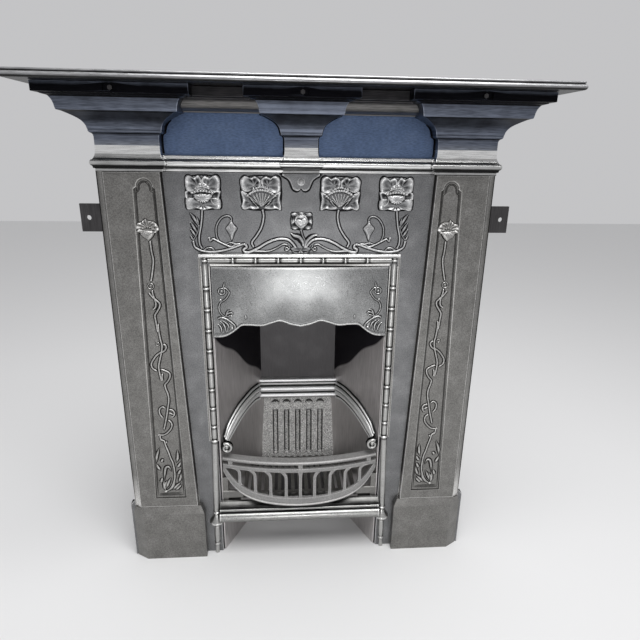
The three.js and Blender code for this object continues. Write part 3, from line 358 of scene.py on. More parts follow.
def eased(profile, radius=0.7, closed=False):
    """Each corner becomes five points: two before it, one close to it and two after it. The outer
    two lie on the flats, so that a flat stays flat and unworn right up to its arris."""
    p = np.asarray(profile, float)
    before, after = np.roll(p, 1, 0) - p, np.roll(p, -1, 0) - p
    length_before = np.linalg.norm(before, axis=1)[:, None] + 1e-9
    length_after = np.linalg.norm(after, axis=1)[:, None] + 1e-9

    def on(side, length, reach):
        return p + side * np.minimum(reach / length, reach / radius * 0.2)

    first, last = on(before, length_before, radius), on(after, length_after, radius)
    corners = np.stack([on(before, length_before, 2.2 * radius), first, (first + 2 * p + last) / 4,
                        last, on(after, length_after, 2.2 * radius)], 1)
    if closed:
        return corners.reshape(-1, p.shape[1])
    return np.vstack([p[:1], corners[1:-1].reshape(-1, p.shape[1]), p[-1:]])


def arc(centre, radius, start, end, steps=8):
    """Points on a circle between two angles in degrees."""
    angle = np.radians(np.linspace(start, end, steps))
    return np.column_stack([centre[0] + radius * np.cos(angle), centre[1] + radius * np.sin(angle)])


def mitred_block(centre_x, half, front, back, profile):
    """A profile of (projection, height) carried round the front and both sides of a block: each
    point becomes a loop with two eased corners, drawn out by its projection, flat at the back."""
    def plan(out):
        side = half + out
        right = eased([(side, back), (side, front - out), (0, front - out)], 0.8)
        return np.vstack([right, right[-2::-1] * (-1, 1)]) + (centre_x, 0)

    return loft([np.column_stack([plan(out), np.full(len(plan(out)), up)]) for out, up in profile])


def run(profile, x0, x1):
    """A closed profile of (y, z) carried along X."""
    p = np.asarray(profile, float)
    loops = [np.column_stack([np.full(len(p), x), p]) for x in (x1, x0)]
    return loft(loops)


# %% [markdown]
# ## Flat castings with eased arrises
#
# The main plate, the tongue and the pilasters are outlines in (x, z) with some depth. `layers`
# carries an outline back through the depth and moves it inward at the front, which leaves the
# small bevel that catches the light on real cast plates. `slab` closes a grid of front points.

# %% Outlines with depth


def inset(outline, distance):
    """A closed outline moved inward: each corner goes (n1 + n2) / (1 + n1 . n2) times the
    distance, with n1 and n2 the inward normals of the sides that meet there."""
    p = np.asarray(outline, float)
    along = np.roll(p, -1, 0) - p
    along /= np.linalg.norm(along, axis=1)[:, None] + 1e-9
    turn = np.sign((p[:, 0] * np.roll(p[:, 1], -1) - p[:, 1] * np.roll(p[:, 0], -1)).sum())
    inward = np.column_stack([-along[:, 1], along[:, 0]]) * turn
    before = np.roll(inward, 1, 0)
    scale = distance / (1 + (inward * before).sum(1)).clip(0.3)
    return p + (inward + before) * scale[:, None]


def standing(outline, y):
    """An outline in (x, z) stood up at a depth y."""
    p = np.asarray(outline, float)
    return np.column_stack([p[:, 0], np.full(len(p), y), p[:, 1]])


def layers(outline, steps):
    """A plate from an outline: steps are (y, inset) from the back to the front. A last loop well
    inside the front keeps the face flat."""
    steps = [*steps, (steps[-1][0], steps[-1][1] + 1.2)]
    return loft([standing(inset(outline, distance), y) for y, distance in steps])


def bar(low, high, ease=0.8):
    """A square bar between two corners, its front edges eased."""
    (x0, y0, z0), (x1, y1, z1) = low, high
    outline = [(x0, z0), (x1, z0), (x1, z1), (x0, z1)]
    return layers(outline, [(y1, 0), (y0 + 2 * ease, 0), (y0 + ease, 0),
                            (y0 + ease * 0.3, ease * 0.3), (y0, ease)])


def slab(front, back_y):
    """A grid of front points closed with a skirt and one back face."""
    rows_count, columns_count = front.shape[:2]
    index = np.arange(rows_count * columns_count).reshape(rows_count, columns_count)
    rim = np.concatenate([index[:-1, 0], index[-1, :-1], index[:0:-1, -1], index[0, :0:-1]])
    flat = front.reshape(-1, 3)
    behind = flat[rim].copy()
    behind[:, 1] = back_y
    back = len(flat) + np.arange(len(rim))
    skirt = np.stack([np.roll(rim, -1), rim, back, np.roll(back, -1)], 1)
    return (np.vstack([flat, behind]), np.vstack([grid_quads(rows_count, columns_count), skirt]),
            [back[::-1]])

# %% [markdown]
# ## Shelf and corbels
#
# The shelf is a slab whose front and ends carry one moulding, mitred at the corners. The corbels
# are built the same way, from a neck that swells by an ogee, a cavetto and a fascia up to the
# shelf. One profile in (projection, height) describes each, so a change of moulding is a change
# of a few numbers.

# %% The shelf
EDGE = 5.0                      # how far the rounded edge stands out


def raised(height, *parts):
    """The parts of a profile, one after another, lifted by a height."""
    return np.vstack(parts) + (0, height)


shelf_profile = raised(
    FRIEZE_TOP, [(-6, 0.4), (-1, 0.4)], arc((0, 5.3), EDGE, -75, 75, 10),
    [(0.8, 10.9), (2.0, 11.3), (2.2, 12.4)], arc((0.6, 13.2), 1.7, 0, 90, 5), [(-2, 14.9)])
piece("shelf_moulded", [mitred_block(0, SHELF_HIGH[0] - EDGE, SHELF_LOW[1] + EDGE, SHELF_HIGH[1],
                                     shelf_profile)],
      shelf_iron, replaces=["mantel_shelf"], gain=1.3, underside_shade=1.0)

# %% [markdown]
# The lower part of a corbel takes the polished iron of the nosing beside it, painted bright as if
# lit, and the part above takes a dark bluish iron, as painted shade and painted sky reflection. So
# its profile is cut in two, in the plain stretch of the neck.

# %% The corbels
CORBELS = (("left", -328, 120), ("centre", 0, 65), ("right", 328, 120))   # middle, neck width
NECK_FRONT, SEAT = -24.0, -0.3  # the front of a neck, and the back that sits on the frieze
NECK_CUT = 48.0                 # where the polished foot, painted bright as if lit, ends, over the frieze's foot
# The fascia's height under the shelf, and how strongly the corbel heads' undersides are painted in
# shade.
FASCIA, HEAD_UNDERSIDE_SHADE = 21.0, 0.35
corbel_profile = np.vstack([
    eased([(2, 0.4), (3, 0.5), (3, 2.4), (3, 4.4), (3, 6), (5.6, 6.6)], 0.3),
    arc((4, 16.5), 6.5, -68, 72, 12),
    curve([(4.2, 24.6), (2.2, 29), (0.7, 35), (0, 42)], 4),
    curve([(0, 62), (0.6, 66), (2.2, 68.6)], 3),
    eased([(3.2, 69), (5.4, 70.2), (7, 72.5), (7, 75)], 0.5)[1:],
    curve([(8, 78), (9.4, 83), (14, 90), (21, 95.5), (30, 100.5), (38, 104.5)], 4),
    eased([(38.6, 105), (44.4, 106.2), (45, 108)], 0.5)[1:],
    curve([(45.6, 111), (46.4, 116), (48.5, 122.5), (52, 128)], 4),
    eased([(53, 128.6), (61, 130.6), (63, 132.6), (71.4, 133), (71.4, FRIEZE_HEIGHT - 0.3)], 0.6),
])
cut_at = int(np.searchsorted(corbel_profile[:, 1], NECK_CUT - 2))
foot_profile = raised(FRIEZE_FOOT, corbel_profile[:cut_at], [(0, NECK_CUT)])
head_profile = raised(FRIEZE_FOOT, [(0, NECK_CUT)], corbel_profile[cut_at:])


def under_shelf(points):
    """The painted shadow of the shelf on the fascia, in its corner, and the painted contact shade
    at the seat.
    """
    return seated(points) - 0.75 * np.clip((points[:, 2] - (FRIEZE_TOP - FASCIA)) / 4, 0, 1)


def quirks(points):
    """Painted shade in the quirks over and under the thin fillet at the foot of the nosing, painted
    contact shade at the seat, and a painted highlight from 33 mm up.
    """
    up = points[:, 2] - FRIEZE_FOOT
    return seated(points) - 1.1 * ((up < 1.6) + (up > 5.4) * (up < 8.6)) + 0.6 * (up > 33)


# The foot takes the bright iron as painted light, the head the shaded iron as painted shade.
PARTS = (("moulded", head_profile, shaded, under_shelf, HEAD_UNDERSIDE_SHADE),
         ("foot", foot_profile, polished, quirks, 0.75))
for side, centre_x, neck_width in CORBELS:
    for part, profile, iron, wear, underside_shade in PARTS:
        piece(f"corbel_{part}_{side}",
              [mitred_block(centre_x, neck_width / 2, NECK_FRONT, SEAT, profile)], iron,
              replaces=[f"corbel_{side}"], wear=wear, underside_shade=underside_shade)

# %% [markdown]
# A thin black plate lies on the frieze round each corbel, as painted shade beside the corbel's
# shaded sides. It is the corbel's own outline, 3 mm wider all round, as a thin flat plate on the
# frieze.

# %% Painted shade round the corbels
SHADE_STRIP, SHADE_STRIP_REACH = 3.0, 409.0     # its width, and how far from the middle it may reach
panel_front = reach("frieze_panel")[0][1]
reaches, levels = raised(FRIEZE_FOOT, corbel_profile[corbel_profile[:, 1] > 32]).T
for side, centre_x, neck_width in CORBELS:
    half = np.minimum(neck_width / 2 + reaches + SHADE_STRIP, SHADE_STRIP_REACH - abs(centre_x))
    rim = np.vstack([np.column_stack([centre_x + half, levels]),
                     np.column_stack([centre_x - half, levels])[::-1]])
    plate = loft([standing(rim, panel_front + 0.8), standing(rim, panel_front - 0.5)])
    piece(f"putty_{side}", [plate], dusky, wear=lambda points: np.full(len(points), -1.0))

# %% [markdown]
# The fascia of each corbel has a small sunk square for its screw. A Boolean takes it out of the
# finished piece, which keeps the profile simple. The new edges then get their rubbing and painted
# shade again.

# %% Sunk squares for the screws
SQUARE_WIDTH, SQUARE_HEIGHT, SQUARE_DEPTH = 24.0, 11.0, 2.6


def sink_box(thing, low, high):
    """Cuts a box, given by two corners in millimetres on the main plate, out of a piece."""
    corners = np.array([[low[k] if (i >> k) & 1 == 0 else high[k] for k in range(3)]
                        for i in range(8)], float) * MM + (0, PLATE_Y, 0)
    faces = [(0, 2, 3, 1), (4, 5, 7, 6), (0, 1, 5, 4), (2, 6, 7, 3), (0, 4, 6, 2), (1, 3, 7, 5)]
    mesh = bpy.data.meshes.new("cutter")
    mesh.from_pydata(corners.tolist(), [], faces)
    cutter = bpy.data.objects.new("cutter", mesh)
    bpy.context.scene.collection.objects.link(cutter)
    cut = thing.modifiers.new("sink", "BOOLEAN")
    cut.operation, cut.object, cut.solver = "DIFFERENCE", cutter, "EXACT"
    bpy.context.view_layer.update()
    shaped = thing.evaluated_get(bpy.context.evaluated_depsgraph_get())
    thing.modifiers.clear()
    thing.data = bpy.data.meshes.new_from_object(shaped)
    thing.data.set_sharp_from_angle(angle=np.radians(SHARP))
    paint_wear_and_shade(thing.data, GAIN, under_shelf, HEAD_UNDERSIDE_SHADE, 0.0)
    bpy.data.objects.remove(cutter)
    thing.modifiers.new("even_flats", "WEIGHTED_NORMAL").keep_sharp = True


for side, _, _ in CORBELS:
    screw_low, screw_high = reach(f"corbel_screw_{side}")
    x, _, z = (screw_low + screw_high) / 2
    sink_box(bpy.data.objects[f"corbel_moulded_{side}"],
             (x - SQUARE_WIDTH / 2, screw_low[1] - 9, z - SQUARE_HEIGHT / 2),
             (x + SQUARE_WIDTH / 2, screw_low[1] + SQUARE_DEPTH, z + SQUARE_HEIGHT / 2))

# %% [markdown]
# ## Cornice and nosing
#
# Between the corbels the same mouldings run on, further back. They are plain runs: one closed
# profile in (y, z) carried along X.

# %% Runs between the corbels
RUN_START, RUN_END = 20.0, 300.0    # from the middle; both ends are hidden in corbels
cornice_profile = raised(
    FRIEZE_TOP,
    eased([(-0.3, -0.4), (-60, -0.4), (-60, -17), (-52, -17.3), (-50, -19.5)], 0.6),
    curve([(-49, -20), (-44, -20.6), (-40, -23), (-38, -28)], 4),
    curve([(-37.6, -30), (-34, -34.5), (-27, -37), (-20, -38)], 4),
    eased([(-19.6, -38.4), (-8, -39), (-7.6, -41), (-0.3, -41)], 0.5)[1:])
nosing_profile = raised(
    FRIEZE_FOOT,
    eased([(-0.3, 0.4), (-5.6, 0.4), (-5.8, 2.4), (-5.9, 4.4), (-6, 6), (-9, 6.8)], 0.3),
    arc((-11.5, 16.5), 6.5, -105, -255, 12),
    curve([(-10.4, 24.2), (-9.4, 26.5), (-8.6, 29.2)], 4),
    [(-7.8, 30.6), (-5, 31.2), (-0.3, 31.4)])
for side, sign in (("left", -1), ("right", 1)):
    ends = sorted((sign * RUN_START, sign * RUN_END))
    piece(f"cornice_moulded_{side}", [run(cornice_profile, *ends)], dusky,
          replaces=[f"cornice_{side}"], wear=under_shelf, underside_shade=0.5)
    piece(f"nosing_moulded_{side}", [run(nosing_profile, *ends)], polished,
          replaces=[f"nosing_{side}"], wear=quirks, underside_shade=1.0)

# %% [markdown]
# ## Frieze and main plate
#
# The main plate is one outline round the opening, wider at the foot, with its edges turned back.
# It and the frieze were burnished only in front, so a wear rule darkens their backs.

# %% The frieze and the main plate
PLATE_HALF, FOOT_HALF = 400.0, 411.0        # half widths behind the pilasters and the plinths
FOOT_TOP, SHOULDER = 149.0, 161.0           # the wide foot ends, and the sides go straight up
TURNED, TURNED_BACK = 6.0, 20.0             # thickness and depth of the turned edges


def raw_back(points):
    """The back was never burnished: it keeps the dark skin of the casting."""
    return -4.0 * np.clip((points[:, 1] - 1.0) / 1.0, 0, 1)


frieze_low, frieze_high = reach("frieze_panel")
frieze_middle = (frieze_low[1] + frieze_high[1]) / 2
piece("frieze_plain", [bar(frieze_low + (0.2, 0, 0.2), frieze_high - (0.2, 0.1, 0.2))], sky_shade,
      replaces=["frieze_panel"], wear=lambda points: -4.0 * (points[:, 1] > frieze_middle))
main_outline = [
    (-OPENING_HALF, 0.0), (-OPENING_HALF, OPENING_TOP), (OPENING_HALF, OPENING_TOP),
    (OPENING_HALF, 0.0), (FOOT_HALF, 0.0), (FOOT_HALF, FOOT_TOP), (PLATE_HALF, SHOULDER),
    (PLATE_HALF, FRIEZE_FOOT), (-PLATE_HALF, FRIEZE_FOOT), (-PLATE_HALF, SHOULDER),
    (-FOOT_HALF, FOOT_TOP), (-FOOT_HALF, 0.0),
]
turned_edges = []
for half, low, high in ((PLATE_HALF, SHOULDER, FRIEZE_FOOT), (FOOT_HALF, 0, FOOT_TOP)):
    for side in (-1, 1):
        start, end = sorted((side * half, side * (half - TURNED)))
        turned_edges.append(bar((start, 4, low), (end, TURNED_BACK, high)))
piece("main_plate", [layers(main_outline, [(6, 0), (2, 0), (0.8, 0), (0.25, 0.25), (0, 0.8)]),
                     *turned_edges], plate_iron, replaces=["front_plate"], wear=raw_back)

# %% [markdown]
# ## Relief
#
# The poppies were carved in a pattern and cast with the plate, so every stem is a rounded ridge
# with a small fillet at its foot, painted dark as shade. `stem` sweeps one such cross-section along
# a measured line, and `petal` raises a closed outline in rings. Both are buried a little in the
# plate behind them, as if cast in one.

# %% Stems and petals
STEM_SECTION = np.array([(-2.1, -0.05), (-1.7, 0.03), (-1.0, 0.30), (-0.66, 0.78), (0, 1.0),
                         (0.66, 0.78), (1.0, 0.30), (1.7, 0.03), (2.1, -0.05)])
BURIED = 1.2


def plain(x, z):
    """The depth of the main plate's front."""
    return 0.0 * x


def stem(path, half=2.0, height=2.0, face=plain, steps=6):
    """A ridge along a line in (x, z). Its half width may be a list, spread along the line; both
    ends round off as the square root of the distance from the end."""
    line = curve(path, steps)
    leap = np.linalg.norm(np.diff(line, axis=0), axis=1)
    way = np.concatenate([[0], np.cumsum(leap)])
    half, height = (np.interp(way / way[-1], np.linspace(0, 1, np.size(v)), np.atleast_1d(v))
                    for v in (half, height))
    ends = np.minimum(way, way[-1] - way) / half.max()
    taper = np.sqrt(np.clip(ends, 0.02, 1))
    tangent = np.gradient(line, axis=0)
    tangent /= np.linalg.norm(tangent, axis=1)[:, None]
    square = np.column_stack([-tangent[:, 1], tangent[:, 0]])
    across, up = STEM_SECTION.T
    spread = (half * taper)[:, None] * across
    x = line[:, :1] + square[:, :1] * spread
    z = line[:, 1:] + square[:, 1:] * spread
    ground = face(x, z)
    top = np.stack([x, ground - (height * taper)[:, None] * up, z], -1)
    under = np.stack([x[:, [-1, 0]], ground[:, [-1, 0]] + BURIED, z[:, [-1, 0]]], -1)
    return loft(np.concatenate([top, under], axis=1))


DOMED = ((1.10, -0.02), (1.05, 0.02), (1.0, 0.12), (0.93, 0.5), (0.82, 0.8), (0.6, 0.95),
         (0.35, 1.0), (0.1, 1.0))
CURLED = ((1.08, -0.02), (1.045, 0.02), (1.0, 0.3), (0.96, 0.78), (0.88, 1.0), (0.78, 0.98),
          (0.62, 0.80), (0.45, 0.66), (0.25, 0.62), (0.1, 0.62))


def petal(outline, height, centre=None, rings=DOMED, ribs=0, depth=0.25, face=plain, lift=0.0,
          steps=6):
    """A closed outline raised in rings: ring r is the outline drawn to the centre by r, and its
    height is the profile's, times 1 + depth cos(ribs a) r with a the angle about the centre."""
    p = np.asarray(outline, float)
    line = curve(np.vstack([p[-1:], p, p[:2]]), steps)[steps:-steps - 1]
    centre = line.mean(0) if centre is None else np.asarray(centre, float)
    offset = line - centre
    angle = np.arctan2(offset[:, 1], offset[:, 0])
    share, up = np.array(rings).T
    spot = centre + share[:, None, None] * offset
    ripple = 1 + depth * np.cos(ribs * angle) * share[:, None] * (ribs > 0)
    ground = face(spot[..., 0], spot[..., 1])
    y = ground - lift * (up[:, None] > 0) - height * up[:, None] * ripple
    top = np.stack([spot[..., 0], y, spot[..., 1]], -1)
    under = np.stack([spot[0, :, 0], ground[0] + BURIED, spot[0, :, 1]], -1)[None]
    return loft(np.concatenate([under, top]))


def curly(outline, height, **shape):
    """A petal whose edge is rolled up over a hollow."""
    return petal(outline, height, rings=CURLED, **shape)


def bead(x, z, radius, face=plain, lift=0.0, height=None):
    """Half a ball on the plate."""
    tall = radius if height is None else height
    turn, rise = np.linspace(0, 2 * np.pi, 12, endpoint=False), np.radians([0, 28, 52, 74, 86])
    ground = face(np.float64(x), np.float64(z)) - lift
    top = np.stack([np.stack([x + radius * np.cos(a) * np.cos(turn),
                              np.full(12, ground - tall * np.sin(a)),
                              z + radius * np.cos(a) * np.sin(turn)], -1) for a in rise])
    under = top[:1] + (0, BURIED + lift, 0)
    return loft(np.concatenate([under, top]))


def relief_shading(face, tall=2.2, crest=0.30):
    """Painted shade at the foot of the relief, and a painted highlight on its crest."""
    def wear(points):
        height = face(points[:, 0], points[:, 2]) - points[:, 1]
        return -1.0 + (1.0 + crest) * np.clip(height / tall, 0, 1)
    return wear


# %% [markdown]
# ## The header's poppies
#
# The header has four poppies pressed into squares, a small one in the middle, and whiplash stems
# that tie them together. The left half is drawn here in millimetres and mirrored.

# %% Stems of the header
header = [
    stem([(-199, 859), (-200, 845), (-203, 824), (-208, 802), (-208, 786), (-203, 775)], 2.2, 2.2),
    stem([(-221, 793), (-218, 780), (-209, 773), (-199, 770), (-182, 769), (-161, 772),
          (-140, 778), (-123, 784), (-113, 785)], 2.3, 2.4),
    stem([(-200, 773), (-192, 777.5), (-184, 777), (-178, 771)], 1.7, 2.0),
    stem([(-188, 798), (-186, 792), (-180, 796), (-170, 791), (-156, 784), (-144, 780),
          (-134, 785), (-124, 786)], 2.0, 2.2),
    stem([(-156, 784), (-146, 788), (-136, 786), (-128, 782)], 1.6, 1.8),
    stem([(-168, 790), (-173, 803), (-172, 822), (-162, 838), (-150, 843), (-142, 839),
          (-141.5, 829)], 1.8, 1.9),
    stem([(-78, 858), (-76, 841), (-81, 820), (-91, 803), (-101, 789), (-97, 778)], 2.3, 2.4),
    stem([(-115, 785), (-112, 779), (-119, 774), (-115, 768.5), (-104, 770), (-87, 778), (-68, 789),
          (-47, 796), (-28, 795), (-17, 787), (-9, 776)], 2.6, 2.8),
    stem([(-104, 771), (-87, 770.5), (-68, 770.5), (-51, 777), (-36, 785), (-26, 783)], 1.8, 2.0),
    stem([(-26, 783), (-23, 778), (-27, 772.5), (-32, 773.5), (-31, 778), (-26, 778)], 1.6, 2.0),
    stem([(-19, 772), (-10, 768), (0, 768.5)], 2.2, 2.0),
    stem([(-221, 793), (-214, 803), (-209, 814), (-207, 825)], 1.4, 1.8),
]
bead_places = [(-188, 798, 3.2), (-188, 792, 2.2), (-142, 832, 2.6), (-26, 775, 2.4), (-60, 794, 2),
               (-65, 791, 2), (-118, 785, 2.6), (-14, 771, 2.6)]
header += [bead(x, z, r) for x, z, r in bead_places]

# %% [markdown]
# Leaves are stems too, with a half width that swells and falls along them. The bud is a drop with a
# second, smaller petal on it.

# %% Leaves and bud
for tip, middle, foot_point, wide in (
        ((-225, 850), (-215, 836), (-207, 820), 2.9), ((-225, 832), (-218, 820), (-210, 806), 2.7),
        ((-226, 818), (-219, 808), (-213, 799), 2.4), ((-226, 805), (-223, 798), (-219, 792), 2.0),
        ((-211, 842), (-209, 832), (-207, 822), 1.8)):
    header.append(stem([foot_point, middle, tip], [0.8, wide, wide, 0.6], [1.2, 2.4, 1.2]))
header += [
    petal([(-142, 833), (-148, 826), (-154, 818), (-148, 806), (-142, 792), (-136, 806),
           (-130, 818), (-136, 826)], 4.5, centre=(-142, 817), steps=3),
    petal([(-152, 817), (-147, 822), (-142, 818), (-137, 822), (-132, 817), (-137, 808),
           (-142, 800), (-147, 808)], 1.6, centre=(-142, 810), lift=3.2, steps=3),
]
print("header shells", len(header))

# %% [markdown]
# Each big poppy fills a square. The outer ones show a ball with a frilled crown between two ruffled
# upper petals and a broad lower one; the inner ones show a fan of ribs under a beaded crown.

# %% Outer poppy


def frill(x0, x1, z0, rise, count, radius, lift):
    """A row of small beads along a shallow arch: the stamens."""
    share = np.linspace(-1, 1, count)
    return [bead((x0 + x1) / 2 + (x1 - x0) / 2 * s, z0 + rise * (1 - s * s), radius, lift=lift,
                 height=radius * 1.2) for s in share]


def ruffled(x0, x1, z0, z1, count=44):
    """A square outline whose edge waves in and out a little, like petals pressed in a square."""
    share = np.linspace(0, 2 * np.pi, count, endpoint=False)
    square = np.abs(np.cos(share)) ** 0.32 * np.sign(np.cos(share)), np.abs(
        np.sin(share)) ** 0.32 * np.sign(np.sin(share))
    wave = 1 + 0.035 * np.cos(12 * share)
    return np.column_stack([(x0 + x1) / 2 + (x1 - x0) / 2 * square[0] * wave,
                            (z0 + z1) / 2 + (z1 - z0) / 2 * square[1] * wave])


outer_poppy = [
    curly(ruffled(-228, -162, 856.5, 921), 2.4, ribs=9, depth=0.2, steps=2),
    curly([(-229, 918), (-222, 923), (-212, 919), (-204, 923), (-197, 917), (-195, 906),
           (-199, 897), (-206, 893), (-217, 890), (-227, 892), (-230, 902)], 6.0,
          centre=(-206, 902), ribs=7, depth=0.16),
    curly([(-196, 916), (-190, 923), (-180, 919), (-170, 924), (-162, 919), (-160, 905),
           (-163, 892), (-172, 888), (-184, 890), (-192, 897), (-196, 905)], 6.6,
          centre=(-186, 900), ribs=7, depth=0.16),
    curly([(-160, 892), (-163, 878), (-160, 867), (-168, 862), (-177, 866), (-181, 876),
           (-177, 888), (-168, 894)], 5.6, centre=(-175, 879), ribs=5, depth=0.15),
    curly([(-230, 892), (-220, 893), (-212, 888), (-211, 879), (-218, 873), (-228, 876),
           (-231, 883)], 5.4, centre=(-218, 882), ribs=4, depth=0.15),
    curly([(-230, 878), (-219, 880), (-210, 874), (-196, 870), (-183, 874), (-173, 880),
           (-162, 877), (-160, 864), (-164, 856), (-178, 858), (-196, 854), (-212, 858),
           (-227, 855), (-231, 864)], 6.4, centre=(-196, 866), ribs=9, depth=0.14),
    petal([(-215, 886), (-212, 876), (-205, 869), (-196, 867), (-187, 869), (-180, 876),
           (-177, 886), (-186, 888), (-196, 889), (-206, 888)], 9.5, centre=(-196, 878), ribs=12,
          depth=0.04),
    petal([(-213, 896), (-207, 906), (-197, 911), (-186, 907), (-178, 898), (-187, 890),
           (-196, 888), (-205, 889)], 6.8, centre=(-196, 898), ribs=9, depth=0.12),
    *frill(-216, -176, 889, 3.5, 8, 3.1, 7.6), *frill(-209, -183, 897, 4, 6, 2.9, 5.6),
]

# %% [markdown]
# The inner poppy's fan is a row of stems that spread from one foot, so a short list of where each
# rib ends is all it needs.

# %% Inner poppy
fan_ribs = [stem([(-79.5, 861), (-79.5 + 0.45 * run_x, 873), (-79.5 + run_x, top_z)],
                 [1.2, 2.0, 2.7], [4.5, 7.0, 6.0])
            for run_x, top_z in ((-28, 884), (-19, 889), (-11, 892), (-3.7, 893), (3.7, 893),
                                 (11, 892), (19, 889), (28, 883))]
inner_poppy = [
    curly(ruffled(-119, -41, 856, 921), 2.4, ribs=9, depth=0.2, steps=2),
    curly([(-121, 915), (-112, 923), (-101, 919), (-92, 923), (-82, 917), (-79, 905), (-84, 898),
           (-96, 895), (-108, 890), (-118, 894), (-121, 904)], 6.6, ribs=7,
          depth=0.16, centre=(-94, 904)),
    curly([(-80, 916), (-70, 923), (-60, 919), (-50, 924), (-41, 918), (-40, 903), (-42, 892),
           (-52, 888), (-63, 894), (-75, 898), (-79, 905)], 6.6, ribs=7, depth=0.16,
          centre=(-66, 904)),
    curly([(-121, 893), (-110, 891), (-101, 881), (-91, 868), (-84, 859), (-94, 856), (-104, 858),
           (-115, 855), (-121, 862), (-117, 876)], 5.8, centre=(-102, 870), ribs=5,
          depth=0.15),
    curly([(-40, 892), (-50, 889), (-59, 879), (-68, 867), (-75, 859), (-62, 856), (-50, 858),
           (-40, 855), (-40, 868), (-42, 880)], 5.8, centre=(-57, 870), ribs=5,
          depth=0.15),
    petal([(-79.5, 857), (-92, 867), (-108, 882), (-101, 891), (-80, 898), (-58, 891), (-50, 882),
           (-66, 867)], 3.2, centre=(-79.5, 882)),
    *fan_ribs,
    *frill(-107, -52, 884, 11, 12, 3.2, 5.4), *frill(-99, -60, 890, 11, 9, 3.0, 5.0),
]

# %% [markdown]
# A small flower stands in the middle, between two broad leaves, and isn't mirrored. Two pieces
# carry the whole relief, because the flowers take deeper painted shade than the stems.

# %% Middle flower and its leaves
small_poppy = [
    curly(ruffled(-20.5, 23.5, 815.5, 850.5, 36), 2.0, ribs=8, depth=0.2, steps=2),
    curly([(-20, 848), (-12, 851), (-4, 847), (2, 850), (10, 847), (18, 851), (23, 847), (22, 838),
           (24, 828), (20, 818), (12, 815), (1, 819), (-10, 815), (-18, 818), (-20, 828),
           (-17, 838)], 3.4, ribs=8, depth=0.3, centre=(2, 832)),
    curly([(-13, 836), (-10, 826), (1, 818), (12, 826), (15, 836), (10, 845), (1, 848), (-9, 845)],
          6.4, centre=(1, 834), ribs=5, depth=0.12),
    petal([(-12, 836), (-9, 828), (0, 821), (9, 828), (5, 835), (-4, 839)], 8.2, centre=(-1, 830)),
    petal([(14, 837), (12, 828), (6, 824), (1, 830), (0, 838), (7, 842)], 8.6, centre=(7, 833)),
    petal([(-9, 842), (-4, 846), (4, 846), (10, 842), (3, 838), (-4, 839)], 8.0, centre=(0, 842)),
    stem([(0, 817), (4, 803), (9, 791), (7, 775)], 1.9, 2.2),
    stem([(-23, 811), (-14, 803), (-3, 799), (4, 790), (6, 778)], [0.7, 4.2, 4.6, 2.0], 2.8),
    stem([(38, 805), (27, 803), (17, 796), (11, 787), (9, 776)], [0.7, 3.6, 4.2, 2.0], 2.8),
    petal([(-22, 777), (-12, 780), (0, 776), (12, 780), (22, 777), (16, 769), (0, 766), (-16, 769)],
          3.0, centre=(0, 773), ribs=6, depth=0.3),
]
piece("header_stems", header + [mirror(shell) for shell in header], plate_iron,
      wear=relief_shading(plain, 2.3, 0.12), gain=2.0, top_highlight=0.35, underside_shade=0.5)
flowers = outer_poppy + inner_poppy
piece("header_poppies", flowers + [mirror(shell) for shell in flowers] + small_poppy, plate_iron,
      wear=relief_shading(plain, 4.6, 0.25), gain=4.2, top_highlight=0.15, underside_shade=1.3)

# %% [markdown]
# ## The tongue under the middle corbel
#
# Its outline is half of a drop with two small lobes at the tip, drawn once and mirrored, and its
# edge is rounded over. A flat ring round it and a thin plate a little below it are painted dark,
# as its contact shade and its shadow.

# %% Tongue
tongue_half = curve([(0, -27.5), (1.6, -30.5), (5, -33.2), (10, -33.4), (16, -29.6), (20, -21),
                     (22.5, -15), (27, -10), (33, -6.4), (37.2, -4)], 4)
tongue_outline = raised(FRIEZE_FOOT, tongue_half, [(37.4, -0.4), (-37.4, -0.4)],
                        (tongue_half * (-1, 1))[:0:-1])
TONGUE_RINGS = ((1.17, 0.0), (1.165, 0.03), (1.0, 0.035), (1.0, 0.82), (0.99, 0.93),
                (0.96, 0.985), (0.92, 1.0), (0.86, 1.0), (0.1, 1.0))
SHADOW_RINGS = ((1.02, 0), (1.0, 0.9), (0.1, 1.0))
TONGUE_THICK, BEAD_Z = 13.0, FRIEZE_FOOT - 16
piece("tongue_rounded", [
    petal(tongue_outline, TONGUE_THICK, centre=(0, FRIEZE_FOOT - 8), rings=TONGUE_RINGS, steps=1),
    petal(tongue_outline * (1.05, 1) - (0, 3.4), 0.4, centre=(0, FRIEZE_FOOT - 8),
          rings=SHADOW_RINGS, steps=1),
    bead(0, BEAD_Z, 7.5, face=lambda x, z: 0 * x - TONGUE_THICK + 0.1, height=1.2),
    bead(0, BEAD_Z, 4.6, face=lambda x, z: 0 * x - TONGUE_THICK - 0.2, height=3.6),
], plate_iron, replaces=["corbel_tongue"], wear=seated)

# %% [markdown]
# ## Pilasters
#
# Each pilaster tapers to its foot, has a chamfer on its outer side, and a sunk field with a round
# head. A stack of loops describes it, from the back to the floor of the field, all with the same
# number of points, so that `loft` can join them.

# %% Pilaster castings
FIELD_Y, PILASTER_Y = -10.5, -12.0
PILASTER_FOOT, PILASTER_HEAD = 149.3, 927.7
OUTER_X, INNER_FOOT_X, INNER_HEAD_X = 384.0, 248.0, 275.0


